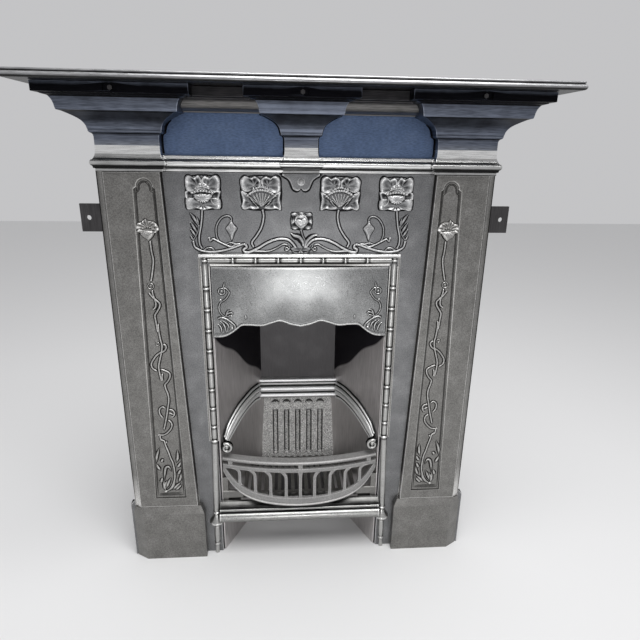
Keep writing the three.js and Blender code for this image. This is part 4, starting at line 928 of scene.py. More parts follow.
def pilaster_loop(left_foot, right_foot, left_top, right_top, foot_z, top_z, arch=None):
    """One loop: foot, right side up, head from right to left, left side down. The head is the
    top edge, or a round one about the arch's centre."""
    side = np.linspace(0, 1, 10)[:, None]
    right = (right_foot, foot_z) + side * (np.array(right_top) - (right_foot, foot_z))
    left = left_top + side * (np.array((left_foot, foot_z)) - left_top)
    turn = np.radians(np.linspace(0, 180, 19))
    if arch is None:
        across = (1 - np.cos(turn)) / 2
        head = np.column_stack([right_top[0] + across * (left_top[0] - right_top[0]),
                                np.full(len(turn), top_z)])
    else:
        head = np.column_stack([arch[0] + arch[2] * np.cos(turn), arch[1] + arch[2] * np.sin(turn)])
    return np.vstack([right, head, left])


def edge_inner(z):
    """The x of the pilaster's inner edge, which leans out towards the head."""
    return INNER_FOOT_X + ((INNER_HEAD_X - INNER_FOOT_X) * (z - PILASTER_FOOT)
                           / (PILASTER_HEAD - PILASTER_FOOT))


def outer_loop(grow, y, outer=OUTER_X):
    """The pilaster's edge, moved in by grow."""
    low, high = PILASTER_FOOT + grow, FRIEZE_FOOT - 0.3 - grow
    return standing(pilaster_loop(
        edge_inner(low) + grow, outer - grow, (edge_inner(high) + grow, high - 1),
        (outer - grow, high - 1), low, high), y)


def field_loop(grow, y):
    """The edge of the sunk field, moved in by grow."""
    return standing(pilaster_loop(
        273.5 + grow, 346 - grow, (285.3 + grow, 896 - grow), (329.0 - grow, 896 - grow),
        173 + grow, 0, (307, 900, 16.4 - grow)), y)


# The chamfer: the outer edge comes in from 397.5 at the back to 384 in front.
# The first loop flares 2.2 mm out on the plate, where the painted contact shade shows along the
# edge.
outer_loops = [outer_loop(*step) for step in (
    (-2.2, -0.2, 397.5), (0, -0.5, 397.5), (0, -1.2, 397.5), (0.05, -2.4, 396.0),
    (0.05, -10.0, 386.6), (0.1, -11.4), (0.6, PILASTER_Y), (2.0, PILASTER_Y))]
field_loops = [field_loop(*step) for step in (
    (-1.6, PILASTER_Y), (0, PILASTER_Y), (0.5, -11.8), (1.6, -10.7), (2.2, FIELD_Y),
    (3.4, FIELD_Y))]
pilaster_shell = loft(outer_loops + field_loops)
for side in ("left", "right"):
    piece(f"pilaster_moulded_{side}", handed(side, [pilaster_shell]), burnished,
          replaces=[f"pilaster_{side}"], wear=seated)

# %% [markdown]
# A thin double line frames the field and a poppy climbs it: a head at the top, a wavering stem with
# crossing strands and curls, and a tuft of long leaves at the foot. All of it is `stem` and `petal`
# again, on the field instead of the plate.

# %% Poppy on the pilasters


def on_field(x, z):
    """The depth of the pilaster's sunk field."""
    return 0.0 * x + FIELD_Y


def line(path, half=2.1, height=2.3):
    """A stem of the pilaster's poppy."""
    return stem(path, half, height, face=on_field)


def blade(path, wide=3.1):
    """A leaf of the pilaster's poppy."""
    return stem(path, [0.7, wide, wide * 0.9, 0.6], [1.0, 2.3, 2.0, 0.9], face=on_field)


def ring(x, z, radius, half=1.2):
    """A closed circle of stem."""
    return line(arc((x, z), radius, 80, 430, 14), half, 1.9)


border = [(279.5, 182), (280, 431), (289.8, 880), (291, 889), (295.6, 893), (296.8, 901),
          (301, 907.4), (307, 909.6), (313, 907.4), (317.2, 901), (318.4, 893), (323, 889),
          (324.4, 880), (334, 431), (340, 182)]
strands = [
    [(305, 796), (304, 772), (302, 753), (306, 729), (311, 707)],
    [(310, 691), (309, 681), (305, 664), (306, 654), (311, 648)],
    [(318, 686), (311, 676), (302, 667), (297, 661), (298, 653), (304, 643), (309, 634),
     (308, 620), (306, 595)],
    [(304, 617), (304, 599), (302, 580), (300, 567), (302, 552), (307, 534), (311, 517),
     (310, 498), (308, 484)],
    [(298, 570), (292, 566), (292, 560), (297, 553), (308, 548), (318, 538), (326, 524),
     (324, 513), (315, 506)],
    [(308, 511), (298, 507), (289, 501), (289, 491), (295, 480), (301, 473), (300, 463),
     (296, 448), (296, 432), (300, 412), (305, 388), (313, 357)],
    [(304, 501), (306, 491), (305, 482)],
    [(298, 412), (288, 408), (286, 399), (292, 390)],
    [(299, 403), (290, 400)],
    [(304, 414), (311, 418), (318, 412), (318, 400), (312, 390)],
    [(302, 385), (295, 379), (294, 368), (301, 356), (312, 347), (324, 346)],
    [(323, 345), (321, 334), (314, 330), (312, 319), (307, 301), (303, 284), (299, 271),
     (297, 252), (297, 233), (302, 214), (310, 200), (321, 192)],
    [(305, 616), (302, 613)],
]
leaves = [
    [(291, 270), (287, 285), (286, 307)], [(292, 258), (285, 264), (281, 274)],
    [(290, 236), (286, 245), (282, 254)], [(290, 216), (284, 230), (282, 243)],
    [(305, 195), (294, 208), (283, 218)], [(299, 194), (290, 203), (282, 212)],
    [(336, 272), (334, 291), (326, 314)], [(326, 272), (322, 280), (318, 279)],
    [(328, 250), (334, 261), (337, 271)],
    [(303, 246), (309, 260), (316, 258), (320, 242), (322, 222)],
    [(320, 199), (314, 215), (306, 232)], [(327, 198), (321, 213), (315, 224)],
    [(331, 215), (326, 233)], [(321, 192), (324, 210), (323, 226)],
    [(316, 192), (304, 206), (296, 222)], [(316, 334), (325, 334)], [(312, 328), (306, 325)],
]
climber = [line(border, 1.0, 1.1), line([(279.5, 182), (340, 182)], 1.0, 1.1),
           line([(283, 186.5), (336.5, 186.5)], 0.8, 0.9)]
climber += [line(path) for path in strands] + [blade(path) for path in leaves]
climber += [ring(312, 699, 6), ring(309, 570, 3.4), ring(290.5, 396, 3.2, 0.9)]
climber += [bead(x, z, r, face=on_field) for x, z, r in
            ((325, 346, 2.6), (321, 192, 3.4), (311, 648, 2.2), (308, 484, 2.2), (312, 699, 2.2))]
climber += [
    curly([(285, 815), (285, 821), (290, 829), (297, 833), (305, 834), (311, 838), (318, 832),
           (327, 829), (331, 819), (327, 814), (318, 812), (307, 811), (296, 811)], 4.6,
          centre=(308, 820), ribs=13, depth=0.3, face=on_field),
    curly([(288, 813), (294, 820), (301, 823), (308, 824), (316, 822), (324, 819), (329, 812),
           (320, 809), (308, 807), (296, 809)], 5.4, centre=(308, 814), ribs=11,
          depth=0.3, face=on_field, lift=0.8),
    petal([(294, 810), (300, 814), (308, 815), (316, 814), (323, 809), (319, 802), (312, 797),
           (307, 793), (302, 797), (297, 803)], 6.0, centre=(308, 806), face=on_field),
]
for side in ("left", "right"):
    piece(f"pilaster_poppy_{side}", handed(side, climber), burnished,
          wear=relief_shading(on_field, 2.0, 0.15), gain=1.6, top_highlight=0.35, underside_shade=0.5)

# %% [markdown]
# ## Bamboo round the opening
#
# Thin canes frame the opening. A cane is a revolved form: a circle whose radius follows the cane, a
# spindle between two knots and a collar at each. The posts go on to the floor as a plain shaft,
# a bell and a barrel.

# %% Canes


def cane(axis, radius_at, sides=18):
    """Circles set square to a straight-ish axis line of points, with a radius for each."""
    axis = np.asarray(axis, float)
    along = np.gradient(axis, axis=0)
    along /= np.linalg.norm(along, axis=1)[:, None]
    first = np.cross(along, (0, 1, 0))
    first /= np.linalg.norm(first, axis=1)[:, None]
    second = np.cross(along, first)
    turn = np.linspace(0, 2 * np.pi, sides, endpoint=False)
    ring_points = (first[:, None] * np.cos(turn)[None, :, None]
                   + second[:, None] * np.sin(turn)[None, :, None])
    return loft(axis[:, None] + ring_points * np.asarray(radius_at)[:, None, None])


def half_round(way, middle, half, tall):
    """A half round swelling on a way: tall (1 - ((way - middle) / half)^2)^(1/2)."""
    return tall * np.sqrt(np.clip(1 - ((way - middle) / half) ** 2, 0, 1))


def knotted(way, knots):
    """The radius along a cane: 3.9 + 2.2 (1 - (1 - d/12)^2)^(1/2) at distance d from the nearest
    knot, and at each knot a collar 7.2 (1 - (d/2.6)^4)^(1/2)."""
    away = np.abs(np.asarray(way)[:, None] - np.asarray(knots)[None]).min(1)
    swell = 3.9 + 2.2 * np.sqrt(1 - (1 - np.clip(away / 12.0, 0, 1)) ** 2)
    collar = 7.2 * np.sqrt(np.clip(1 - (away / 2.6) ** 4, 0, 1))
    return np.maximum(swell, collar)


def narrow(points, along, knots):
    """Painted shade in the neck on both sides of each collar, a painted highlight on the collar,
    and the painted contact shade at the seat.
    """
    away = np.abs(along[:, None] - np.asarray(knots)[None]).min(1)
    return seated(points) + 0.35 * (away < 2.2) - 0.45 * np.clip(1 - np.abs(away - 5.0) / 3.2, 0, 1)


def lip(x, y, z):
    """A moulded strip beside a cane: a grid of front points, closed 0.6 mm inside the plate."""
    return slab(np.stack(np.broadcast_arrays(x, y, z), -1), 0.6)


def cane_bed(off):
    """Painted shade in the corner on both sides of a cane: dark within 8 mm of its middle."""
    return -1.1 * np.clip((8.6 - np.abs(off)) / 1.2, 0, 1)


KNOT_PITCH, LOWEST_KNOT, END_KNOT = 47.17, 361.2, 324.0
POST_X, POST_SPLAY, SPLAY_TOP = 200.0, 8.5, 331.2   # below SPLAY_TOP a post leans outward
CANE_Y, CANE_TOP_Z, BELL_FOOT = -3.0, 751.5, 93.0
heights = np.concatenate([np.arange(0.4, 118, 1.2), np.arange(118, 758, 0.8)])
post_x = POST_X + POST_SPLAY * np.clip((SPLAY_TOP - heights) / SPLAY_TOP, 0, None)
post_knots = np.concatenate([[END_KNOT], LOWEST_KNOT + KNOT_PITCH * np.arange(8), [CANE_TOP_Z]])
# The bell flares from the neck to its foot, and a barrel with a bead at each end stands under it.
bell = np.interp(heights, [92.5, 93.4, 94.4, 97.5, 101, 105, 110, 116, 118, 118.5],
                 [0, 16.0, 17.4, 17.0, 14.2, 11.4, 8.8, 6.4, 6.0, 0])
barrel = np.interp(heights, [24, 27, 30, 33, 38, 60, 80, 83, 86, 89, 91, 92],
                   [5, 7.2, 7.0, 5.0, 6.0, 7.0, 6.0, 5.0, 6.8, 5.2, 8.2, 5])
shaft = np.where((heights > 128) & (heights < 322), 7.6, 0)
post_radius = np.maximum.reduce([
    np.where(heights < BELL_FOOT, barrel, knotted(heights, post_knots)), bell, shaft,
    half_round(heights, 122.5, 4.5, 9.6), half_round(heights, END_KNOT, 4.0, 8.8)])
post = cane(np.column_stack([post_x, np.full_like(heights, CANE_Y), heights]), post_radius)
post_lip = [lip(np.array([[190.4, 191.2, 191.5, 192.8, 200, 207.2, 208.6, 209.2, 210]]),
                np.array([[-1.7, -2.3, -2.3, -2.3, -2.3, -2.3, -2.3, -2.3, -1.6]]),
                np.linspace(321, 738.8, 4)[:, None]),
            bar((209, -1.4, 321), (213.5, 0.6, 758), 0.4)]
for side in ("left", "right"):
    piece(f"cane_{side}", handed(side, [post]), cane_iron, replaces=[f"bamboo_{side}"], sharp=50,
          wear=lambda points: narrow(points, points[:, 2], post_knots))
    piece(f"cane_lip_{side}", handed(side, post_lip), burnished,
          replaces=[f"bamboo_{side}"], wear=lambda points: cane_bed(np.abs(points[:, 0]) - POST_X))

# %% [markdown]
# The cane over the opening is the same form laid across, with a strip under it and a plain ledge
# over it.

# %% Cane and ledge over the opening
across = np.arange(-192, 192.5, 0.8)
top_knots = KNOT_PITCH * np.arange(-3.0, 4.0)
cane_top = cane(np.column_stack([across, np.full_like(across, CANE_Y),
                                 np.full_like(across, CANE_TOP_Z)]), knotted(across, top_knots))
piece("cane_over_opening", [cane_top], cane_iron, replaces=["bamboo_top"], sharp=50,
      wear=lambda points: narrow(points, points[:, 0], top_knots), underside_shade=0.5)
top_lip = lip(np.linspace(-190, 190, 5)[None],
              np.array([-1.8, -2.3, -2.3, -2.3, -2.3, -2.3])[:, None],
              np.array([739.3, 740.4, 742.6, 743.8, 751.5, 758.6])[:, None])
piece("cane_lip_top", [top_lip], burnished, replaces=["bamboo_top"],
      wear=lambda points: cane_bed(points[:, 2] - CANE_TOP_Z))
ledge_profile = raised(
    reach("opening_ledge")[0][2], [(-0.3, 0.1)],
    eased([(-0.3, 0.1), (-9, 0.1), (-10, 1.5), (-10, 5), (-8, 7), (-0.3, 7.9)], 0.4)[1:])
piece("ledge_moulded", [run(ledge_profile, -211, 211)], polished, replaces=["opening_ledge"],
      underside_shade=1.0)

# %% [markdown]
# ## Hood
#
# The hood is a thin plate that bulges forward, fixed under the lintel. Its lower edge waves and has
# a rounded rim. The section down the plate is one closed line, front and back, and it is lofted
# from left to right, so the bulge and the wave are just numbers that change with x.

# %% Hood plate
HOOD_HALF, HOOD_TOP, HOOD_DROP = 188.5, 737.5, 137.0
WAVE = curve([(0, 1), (0.114, 0.964), (0.227, 0.909), (0.33, 0.942), (0.43, 0.985),
              (0.567, 0.974), (0.66, 0.978), (0.716, 1.036), (0.784, 1.109), (0.866, 1.161),
              (0.99, 1.172)], 8)


def hood_edge(x):
    """The height of the hood's lower edge at x."""
    return OPENING_TOP - HOOD_DROP * np.interp(np.abs(x) / OPENING_HALF, WAVE[:, 0], WAVE[:, 1])


def on_hood(x, z):
    """The hood's front: 1 - 12 (1 - |x/half|^2.8)(1 - w^3), with w the share of the way down."""
    down = np.clip((HOOD_TOP - z) / (HOOD_TOP - hood_edge(x)), 0, 1)
    return 1.0 - 12.0 * (1 - np.abs(x / HOOD_HALF) ** 2.8) * (1 - down ** 3)


def rim_highlight(points):
    """The rounded rim under the wave is painted bright, as a highlight."""
    x, y, z = points.T
    return 0.55 * np.clip(1.6 - (z - hood_edge(x)) / 3.0, 0, 1) * (np.abs(x) < 180) * (y < 2)


HOOD_THICK = 5.0
hood_x = np.linspace(-HOOD_HALF, HOOD_HALF, 181)
front_down = np.concatenate([np.linspace(0, 0.86, 22), np.linspace(0.88, 0.955, 5)])[:-1]
back_down = np.linspace(0.94, 0, 14)
# The rim: (share of the way down, mm in front of the plate).
rim_line = np.array([(0.948, 0.2), (0.955, 0.9), (0.962, 1.7), (0.974, 2.2), (0.987, 2.0),
                     (0.997, 1.0), (1.0, -0.6), (0.996, -2.6), (0.985, -4.4), (0.96, -5.0)])
section_down = np.concatenate([front_down, rim_line[:, 0], back_down])
section_out = np.concatenate([0 * front_down, rim_line[:, 1], 0 * back_down - HOOD_THICK])
section_z = HOOD_TOP - (HOOD_TOP - hood_edge(hood_x)[:, None]) * section_down
section_x = np.broadcast_to(hood_x[:, None], section_z.shape)
hood_loops = np.stack([section_x, on_hood(section_x, section_z) - section_out, section_z], -1)
# The hood hangs by a flange behind the lintel, a little shorter than the plate.
flange = bar((-HOOD_HALF + 9, 4, 721.5), (HOOD_HALF - 9, 11, 744), 0.4)
piece("hood_plate", [loft(hood_loops), flange], hood_iron, replaces=["hood"], gain=1.2, sharp=55,
      wear=rim_highlight)

# %% [markdown]
# Curled stems grow in both lower corners of the hood, and a small bud hangs from the wave.

# %% Curls on the hood


def curl(path, half=1.6, height=1.9):
    """A stem on the hood."""
    return stem(path, half, height, face=on_hood)


corner = [
    curl([(-161, 706), (-162, 701), (-164, 692)], [0.6, 1.8, 1.4]),
    curl(arc((-168, 684.5), 6.8, 60, 400, 14), 1.5, 1.9),
    curl([(-162, 693), (-155, 688), (-152, 681), (-160, 668), (-171, 660), (-175, 652), (-175, 643),
          (-171, 634), (-162, 626)], 1.6),
    curl([(-162, 626), (-157, 640), (-149, 644)], [1.6, 2.2, 0.7]),
    curl([(-160, 633), (-151, 637), (-143, 634)], [1.4, 2.4, 0.7]),
    curl([(-161, 627), (-152, 630), (-146, 629)], [1.2, 1.8, 0.6]),
    curl([(-180, 622), (-172, 625.5), (-160, 622), (-149, 614), (-143, 606), (-143, 597)], 2.1,
         2.3),
    bead(-149, 600.5, 3.6, face=on_hood), bead(-171, 665, 3.4, face=on_hood),
    bead(-168, 684.5, 2.8, face=on_hood), bead(-162, 691, 2.6, face=on_hood),
    curl([(-181, 612), (-175, 606), (-172, 597), (-174, 589)], [0.8, 2.2, 2.0, 0.8]),
    curl([(-175, 618), (-167, 610), (-164, 599), (-167, 589)], [0.8, 2.4, 2.0, 0.8]),
    curl([(-168, 618), (-159, 611), (-156, 602), (-158, 594)], [0.8, 2.2, 1.8, 0.8]),
    petal([(-119, 632), (-122, 626), (-119, 620), (-116, 626)], 2.4, face=on_hood),
]
piece("hood_curls", corner + [mirror(shell) for shell in corner], hood_iron,
      wear=relief_shading(on_hood, 1.8, 0.10), gain=1.4, top_highlight=0.3, underside_shade=0.5)

# %% [markdown]
# ## Ash rail
#
# A nosed rail crosses the foot of the opening, between the bells of the canes. A second, longer run
# of the same profile, cut off at the plate's front, closes its ends.

# %% Ash rail
rail_profile = np.vstack([
    eased([(6, 99.8), (-12, 99.8), (-13, 100.4)], 0.4),
    arc((-11, 113.5), 13.2, -100, -235, 18),
    eased([(-15.5, 126.4), (-12.8, 127.8), (-12.6, 132.2), (-10.4, 134), (-10, 140), (-8.4, 141.2),
           (6, 148)], 0.4),
])
rail_front = rail_profile.copy()
rail_front[:, 0] = np.minimum(rail_front[:, 0], -0.3)


def rail_shading(points):
    """The nose has a painted highlight, a quirk over it painted shade, then a fillet with a painted
    highlight, then a slope painted duller.
    """
    z = points[:, 2]
    return np.select([z > 133.0, z > 128.6, z > 125.2], [-0.44, 0.35, -1.0], 0.35)


piece("ash_rail_moulded", [run(rail_profile, -193.5, 193.5), run(rail_front, -196, 196)], cane_iron,
      replaces=["ash_rail"], gain=0.4, underside_shade=0.6, wear=rail_shading)

# %% [markdown]
# ## Inside the chamber
#
# The ledge at the back has three round ridges. On the cheeks the same ridges sweep down and
# forward and end in a scroll. A point on a cheek is found from how far back it is and its height,
# because the cheeks are flat plates that splay: half width = 192 - 0.4796 y.

# %% Ledge at the back
ledge_ridges = np.vstack([
    [(202, 390), (196, 390)], arc((191.5, 384), 5.6, 60, 250, 12),
    [(187.6, 376.6), (188.4, 371)], arc((186, 361.5), 6.0, 70, 250, 12),
    [(185, 353.6), (187.4, 351)], arc((187.5, 342), 5.6, 90, 250, 10), [(187, 334), (202, 333.4)],
])
back_low, back_high = reach("upper_back_panel")
panel = bar((back_low[0] + 0.4, 196.2, 389), (back_high[0] - 0.4, 201.8, back_high[2] - 0.2), 0.4)
piece("back_panel_plain", [panel], blacked, replaces=["upper_back_panel"])
# The ridged ledge is painted dark at its back, low by the panel, as shade.
piece("back_ledge_ridged", [run(ledge_ridges, -102.5, 102.5)], ledge_iron,
      replaces=["upper_back_panel"], top_highlight=0.4, underside_shade=0.9,
      wear=lambda points: -0.9 * np.clip((points[:, 1] - 186.2) / 1.2, 0, 1) * (points[:, 2] < 385))

# %% [markdown]
# Each cheek's moulding lies between two curves on the cheek, its top and its foot. Lines from one
# to the other carry four half rounds, which gives ridges that narrow towards the front.

# %% Ridges on the cheeks
CHEEK_HALF = 192.0              # half the width between the cheeks' faces at the main plate
CHEEK_TURN = np.hypot(1, CHEEK_SLOPE)
RIDGES = ((0.10, 0.08, 5.0), (0.36, 0.13, 7.2), (0.64, 0.13, 8.0), (0.91, 0.07, 5.4))


def off_cheek(y, z, out):
    """A point out millimetres in front of the right cheek's face."""
    y, z, out = np.broadcast_arrays(y, z, out)
    x = CHEEK_HALF - 0.3 - CHEEK_SLOPE * y - out / CHEEK_TURN
    return np.stack([x, y - CHEEK_SLOPE * out / CHEEK_TURN, z], -1)


def between_ridges(points):
    """Painted shade lies low, between the ridges, and the ridges are darker towards the front."""
    x, y, _ = points.T
    out = (CHEEK_HALF - 0.3 - np.abs(x) - CHEEK_SLOPE * y) / CHEEK_TURN
    return -1.0 * np.clip((5.6 - out) / 1.2, 0, 1) - 0.16 * np.clip((110 - y) / 90, 0, 1)


ridge_top = curve([(178, 385), (140.5, 386.2), (107, 380.7), (74.5, 371.6), (34.9, 348.4),
                   (15, 324)], 6)
ridge_foot = curve([(178, 333), (152.6, 338.6), (113, 333.8), (75.6, 320), (36.6, 299),
                    (22, 293)], 6)
rise = np.linspace(0, 1, 56)
ridge_out = 2.0 + np.maximum.reduce([*(half_round(rise, *ridge) for ridge in RIDGES),
                                     1.6 * (rise > 0.05) * (rise < 0.95)])
ridge_out[[0, -1]] = -0.2
between = ridge_foot[:, None] + rise[None, :, None] * (ridge_top - ridge_foot)[:, None]
cheek_ridges = loft(off_cheek(between[..., 0], between[..., 1], ridge_out))

# %% [markdown]
# The scroll at the front is a round ridge along a spiral, on a disc, with a turned eye.

# %% Scrolls
SCROLL_X, SCROLL_Z = 174.0, 299.5
disc_turn = np.linspace(0, 2 * np.pi, 40, endpoint=False)


def scroll(turns, start, end, half):
    """A round ridge along a spiral that faces the front: its radius shrinks evenly from start to
    end while it turns, and it thins towards the eye."""
    share = np.linspace(0, 1, 70)
    angle = np.radians(118) + share * turns * 2 * np.pi
    radius = start + share * (end - start)
    axis = np.column_stack([SCROLL_X - radius * np.cos(angle), np.full(70, 0.5),
                            SCROLL_Z + radius * np.sin(angle)])
    return cane(axis, half * (1 - 0.35 * share), 12)


def disc(radius_and_y):
    """A turned disc that faces the front, from (radius, y) pairs."""
    return loft([np.column_stack([SCROLL_X + r * np.cos(disc_turn), np.full(40, y),
                                  SCROLL_Z + r * np.sin(disc_turn)]) for r, y in radius_and_y])


scroll_shells = [scroll(-1.2, 12.6, 4.8, 3.6),
                 disc([(14.6, 10.5), (14.6, 3.6), (14.0, 2.8), (9.0, 2.6), (1.0, 2.6)]),
                 disc([(3.8, 4.0), (3.7, 0.6), (3.2, -0.8), (2.0, -1.6), (0.5, -1.9)])]
for side in ("left", "right"):
    piece(f"cheek_ridges_{side}", handed(side, [cheek_ridges]), ledge_iron,
          replaces=[f"cheek_moulding_{side}"], sharp=50, gain=2.0, wear=between_ridges)
    # The disc behind the spiral is painted dark as shade, and the whole scroll a little greyer.
    piece(f"cheek_scroll_{side}", handed(side, scroll_shells), cane_iron,
          replaces=[f"cheek_moulding_{side}"], sharp=50,
          wear=lambda points: -0.12 - 1.2 * np.clip((points[:, 1] - 1.8) / 0.8, 0, 1))

# %% [markdown]
# ## Fire brick
#
# The back of the fire is a rough brick with five flutes and a dimple over each. It is one height
# field: the depth is the brick's slope, plus a half round flute where x is near a flute's middle,
# plus a dimple, plus seeded noise for the cast grain.

# %% Fire brick
FLUTE_PITCH, FLUTE_RADIUS, FLUTE_DEPTH = 31.0, 8.0, 7.0
FLUTE_FOOT, FLUTE_TOP, FLUTE_END = 164, 287, 6      # a flute's round ends start FLUTE_END inside
DIMPLE_Z, DIMPLE_RADIUS, DIMPLE_DEPTH = 308.0, 11.0, 8.0
brick_low, brick_high = reach("fire_brick")
columns = np.linspace(brick_low[0] + 0.4, brick_high[0] - 0.4, 150)
rows = np.linspace(brick_low[2] + 0.2, brick_high[2] - 0.2, 138)
brick_x, brick_z = np.meshgrid(columns, rows)


def flute_middle(x):
    """The middle of the nearest of the five flutes."""
    return FLUTE_PITCH * np.clip(np.round(x / FLUTE_PITCH), -2, 2)


def brick_shading(points):
    """Painted light on the lower slopes of the dimples and painted shade on their upper slopes,
    painted shade on the sides of the flutes, darker behind the face, and a painted highlight at the
    top.
    """
    x, y, z = points.T
    off = x - flute_middle(x)
    inside = np.clip(1.2 - np.hypot(off, z - DIMPLE_Z) / DIMPLE_RADIUS, 0, 1)
    in_flute = (np.abs(off) < 8) * (z < 290) * (z > 160)
    side = np.clip((9 - np.abs(off)) / 3, 0, 1) * (np.abs(off) > 4.5)
    return (np.clip(DIMPLE_Z - 1 - z, -5, 6) / 5 * (inside > 0.2) * 1.2
            - 0.55 * in_flute * side - 0.06 * in_flute - 1.0 * (y > 216) + 0.08 + 0.3 * (z > 328))


off_middle = brick_x - flute_middle(brick_x)
off_flute = np.hypot(off_middle, np.maximum(0, np.maximum(
    FLUTE_FOOT + FLUTE_END - brick_z, brick_z - (FLUTE_TOP - FLUTE_END))))
off_dimple = np.hypot(off_middle, brick_z - DIMPLE_Z)
grain = np.random.default_rng(7).normal(0, 0.35, brick_x.shape)
grain = (grain + np.roll(grain, 1, 0) + np.roll(grain, 1, 1)) / 1.6
to_edge = np.minimum(np.minimum(brick_x - columns[0], columns[-1] - brick_x),
                     np.minimum(brick_z - rows[0], rows[-1] - brick_z))
soft_edge = 2.0 * (1 - np.clip(to_edge / 3.0, 0, 1)) ** 2
slope = 188 + 20 * (brick_z - brick_low[2]) / (brick_high[2] - brick_low[2])
brick_y = (slope + 0.6 + half_round(off_flute, 0, FLUTE_RADIUS, FLUTE_DEPTH)
           + half_round(off_dimple, 0, DIMPLE_RADIUS, DIMPLE_DEPTH) + grain * (to_edge > 1)
           + soft_edge)
piece("fluted_brick", [slab(np.stack([brick_x, brick_y, brick_z], -1), brick_high[1] - 0.3)],
      fire_clay, replaces=["fire_brick"], gain=1.6, wear=brick_shading)

# %% [markdown]
# ## Basket front
#
# The basket front lifts out in one casting: a bowed top bar, a second bar, a deep crescent with a
# bright rim and nine spindles that hook outward at the top. Everything follows one bow line,
# y = 31 (x/186)^2 - 26, so every bar is a section carried along it.

# %% Bars of the basket
BOW_HALF, BAR_HALF = 186.0, 185.6
bowed_x = np.linspace(-BAR_HALF, BAR_HALF, 91)


def bow(x):
    """How far in front of the plate the basket's line is at x."""
    return 31 * (x / BOW_HALF) ** 2 - 26


def crescent_foot(x):
    """The height of the crescent's foot at x."""
    share = np.abs(x) / BOW_HALF
    return 149 + 84.5 * (0.3 * share ** 2 + 0.7 * share ** 6)


def bowed(section, foot_at=lambda x: 0 * x):
    """A closed section of (back from the bow, height) carried along the bow."""
    p = np.asarray(section, float)
    x = bowed_x[:, None] + 0 * p[None, :, 0]
    return loft(np.stack([x, bow(x) + p[None, :, 0], foot_at(x) + p[None, :, 1]], -1))


top_bar = eased([(0.6, 263.2), (24.8, 263.2), (24.8, 269.6), (21, 270), (3, 270), (0.2, 267.6)],
                0.8, closed=True)
second_bar = eased([(0.2, 243.2), (8.8, 243.2), (8.8, 252.8), (0.2, 252.8)], 0.9, closed=True)
crescent = eased([(1.0, 0.4), (8.0, 0.4), (8.0, 21.6), (1.0, 21.6)], 0.8, closed=True)
rim_turn = np.linspace(0, 2 * np.pi, 10, endpoint=False)
rim_section = np.column_stack([1.6 + 3.4 * np.cos(rim_turn), 3.0 + 2.7 * np.sin(rim_turn)])
basket = [bowed(top_bar), bowed(second_bar), bowed(crescent, crescent_foot),
          bowed(rim_section, crescent_foot)]

# %% [markdown]
# A spindle's middle line leans outward near the top and widens into a small web where it meets the
# bars. Three short ties join the two upper bars.

# %% Spindles
SPINDLE_PITCH, SPINDLE_HALF, SPINDLE_DEEP, SPINDLE_TOP = 37.2, 3.6, 6.6, 246.5
HOOK, LEAN = 12, 3              # how far a spindle hooks outward at its top, and leans in below it
TIE_HALF, TIE_FOOT, TIE_TOP, OUTER_TIE = 5, 251, 265, 0.9 * BOW_HALF
spindle_square = eased([(-SPINDLE_HALF, 0.0), (SPINDLE_HALF, 0.0), (SPINDLE_HALF, SPINDLE_DEEP),
                        (-SPINDLE_HALF, SPINDLE_DEEP)], 1.2, closed=True)


def spindle(index):
    """A square spindle from the crescent to the second bar. Its middle line moves away from the
    basket's middle by HOOK s^2 - LEAN, with s growing from 0 to 1 over its upper part, where it
    also widens into a small web."""
    x0 = index * SPINDLE_PITCH
    share = np.linspace(0, 1, 22)
    low = crescent_foot(np.float64(x0)) + 18
    z = low + share * (SPINDLE_TOP - low)
    near = np.clip((share - 0.72) / 0.28, 0, 1) ** 2
    foot_near = np.clip((0.16 - share) / 0.16, 0, 1) ** 2
    middle = x0 + np.sign(index) * (HOOK * near - LEAN)
    wide = 1 + 0.9 * near + 0.8 * foot_near
    x = middle[:, None] + spindle_square[None, :, 0] * wide[:, None]
    y = bow(x0) + 1.2 + spindle_square[None, :, 1] + 0 * x
    return loft(np.stack([x, y, z[:, None] + 0 * x], -1))


basket += [spindle(index) for index in range(-4, 5)]
for tie_x in (-OUTER_TIE, 0, OUTER_TIE):
    basket.append(bar((tie_x - TIE_HALF, bow(tie_x) + 2, TIE_FOOT),
                      (tie_x + TIE_HALF, bow(tie_x) + 8, TIE_TOP)))
piece("basket_front_cast", basket, basket_iron, body="basket_front", replaces=["front_bars"],
      gain=1.2, sharp=50, underside_shade=0.5, top_highlight=0.2)

# %% [markdown]
# ## Castings kept from the model
#
# The remaining castings are flat plates, pins and screws. Their meshes stay; Weld joins their loose
# triangles, a planar Decimate removes the cuts inside flat faces, and a small Bevel gives the
# bright arris of a real casting. Each then gets the finish of its place on the fireplace.

# %% Finishes on the kept castings
JOIN, ARRIS = 0.02 * MM, 0.7 * MM           # points closer than this are one; width of an arris
FLAT_WITHIN, ARRIS_FROM = 1, 35             # degrees between two faces

for node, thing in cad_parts.items():
    if thing.hide_render:
        continue
    slot_name = next((name for name in FINISHES if name in thing.data.materials[0].name),
                     "burnished_iron")
    material = FINISHES[slot_name]
    if node.startswith(("cheek_left", "cheek_right")):
        material = cheek_iron
    if node in ("bottom_grate", "grate_rest_left", "grate_rest_right"):
        material = burnished
    thing.data.materials.clear()
    thing.data.materials.append(material)
    weld = thing.modifiers.new("join", "WELD")
    weld.merge_threshold = JOIN
    flat = thing.modifiers.new("flat", "DECIMATE")
    flat.decimate_type, flat.angle_limit = "DISSOLVE", np.radians(FLAT_WITHIN)
    ease = thing.modifiers.new("arris", "BEVEL")
    ease.width, ease.segments, ease.limit_method = ARRIS, 2, "ANGLE"
    ease.angle_limit = np.radians(ARRIS_FROM)

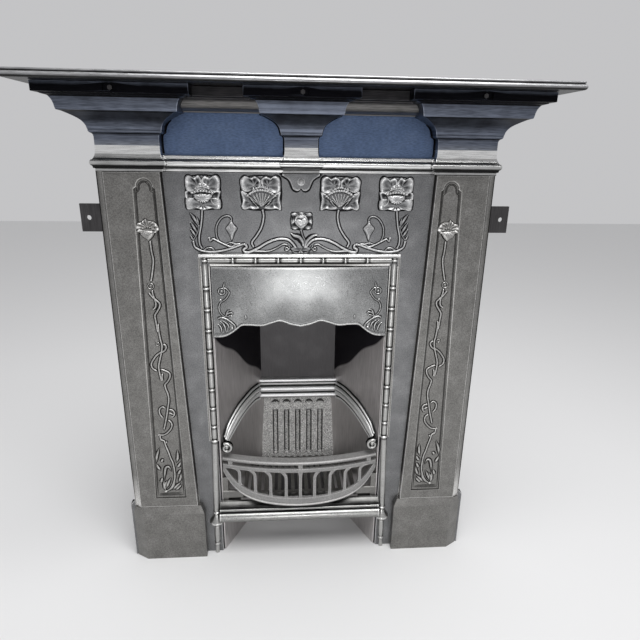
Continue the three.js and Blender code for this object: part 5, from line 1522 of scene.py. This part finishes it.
# %% [markdown]
# ## Camera, floor and light
#
# The camera stands where the photograph was taken from: a little left of the middle, at the height
# of the frieze, tilted down. Its lens and place come from the evenly spaced knots of the canes.

# %% Camera
EYE = (-0.03733, -1.12238, 0.97663)
PAN, DIP, ROLL = -0.07500, 0.32375, 0.01517         # radians
camera = bpy.data.cameras.new("camera")
camera.lens, camera.sensor_width = 28.85, 36.0
viewer = bpy.data.objects.new("camera", camera)
bpy.context.scene.collection.objects.link(viewer)
viewer.matrix_world = (Matrix.Translation(EYE) @ Matrix.Rotation(PAN, 4, "Z")
                       @ Matrix.Rotation(np.pi / 2 - DIP, 4, "X") @ Matrix.Rotation(ROLL, 4, "Z"))
bpy.context.scene.camera = viewer

# %% [markdown]
# A plain pale floor and a pale grey world give the iron something even to reflect.

# %% Floor and surroundings
FLOOR_HALF = 6.0
floor_mesh = bpy.data.meshes.new("floor")
floor_mesh.from_pydata([(-FLOOR_HALF, -FLOOR_HALF, 0), (FLOOR_HALF, -FLOOR_HALF, 0),
                        (FLOOR_HALF, FLOOR_HALF, 0), (-FLOOR_HALF, FLOOR_HALF, 0)], [],
                       [(0, 1, 2, 3)])
floor = bpy.data.objects.new("floor", floor_mesh)
bpy.context.scene.collection.objects.link(floor)
floor_paint = bpy.data.materials.new("floor_paint")
floor_paint.use_nodes = True
paint = floor_paint.node_tree.nodes["Principled BSDF"].inputs
paint["Base Color"].default_value = (0.78, 0.78, 0.78, 1)
paint["Roughness"].default_value = 0.9
floor_mesh.materials.append(floor_paint)
world = bpy.data.worlds.new("studio")
world.use_nodes = True
background = world.node_tree.nodes["Background"].inputs
background["Color"].default_value = (0.55, 0.55, 0.56, 1)
background["Strength"].default_value = 1.0
bpy.context.scene.world = world
bpy.context.scene.view_settings.view_transform = "Standard"

# %% [markdown]
# A wide lamp from above brightens the upper curves, and a small low one in front is mirrored by the
# bulge of the hood as a soft glow.

# %% Lamps


def lamp(name, place, aim, size, watts):
    """A square soft lamp at a place, facing a point."""
    data = bpy.data.lights.new(name, "AREA")
    data.shape, data.size, data.energy = "SQUARE", size, watts
    thing = bpy.data.objects.new(name, data)
    bpy.context.scene.collection.objects.link(thing)
    turn = (Vector(place) - Vector(aim)).to_track_quat("Z", "Y").to_matrix().to_4x4()
    thing.matrix_world = Matrix.Translation(place) @ turn


lamp("sky", (0.3, -1.0, 2.9), (0, 0, 0.6), 1.6, 60)
lamp("front", (0.05, -1.70, 0.20), (0, -0.06, 0.69), 0.20, 4.2)

# %% [markdown]
# ## Last step
#
# Last, the view layer is brought up to date.

# %% Last step
bpy.context.view_layer.update()
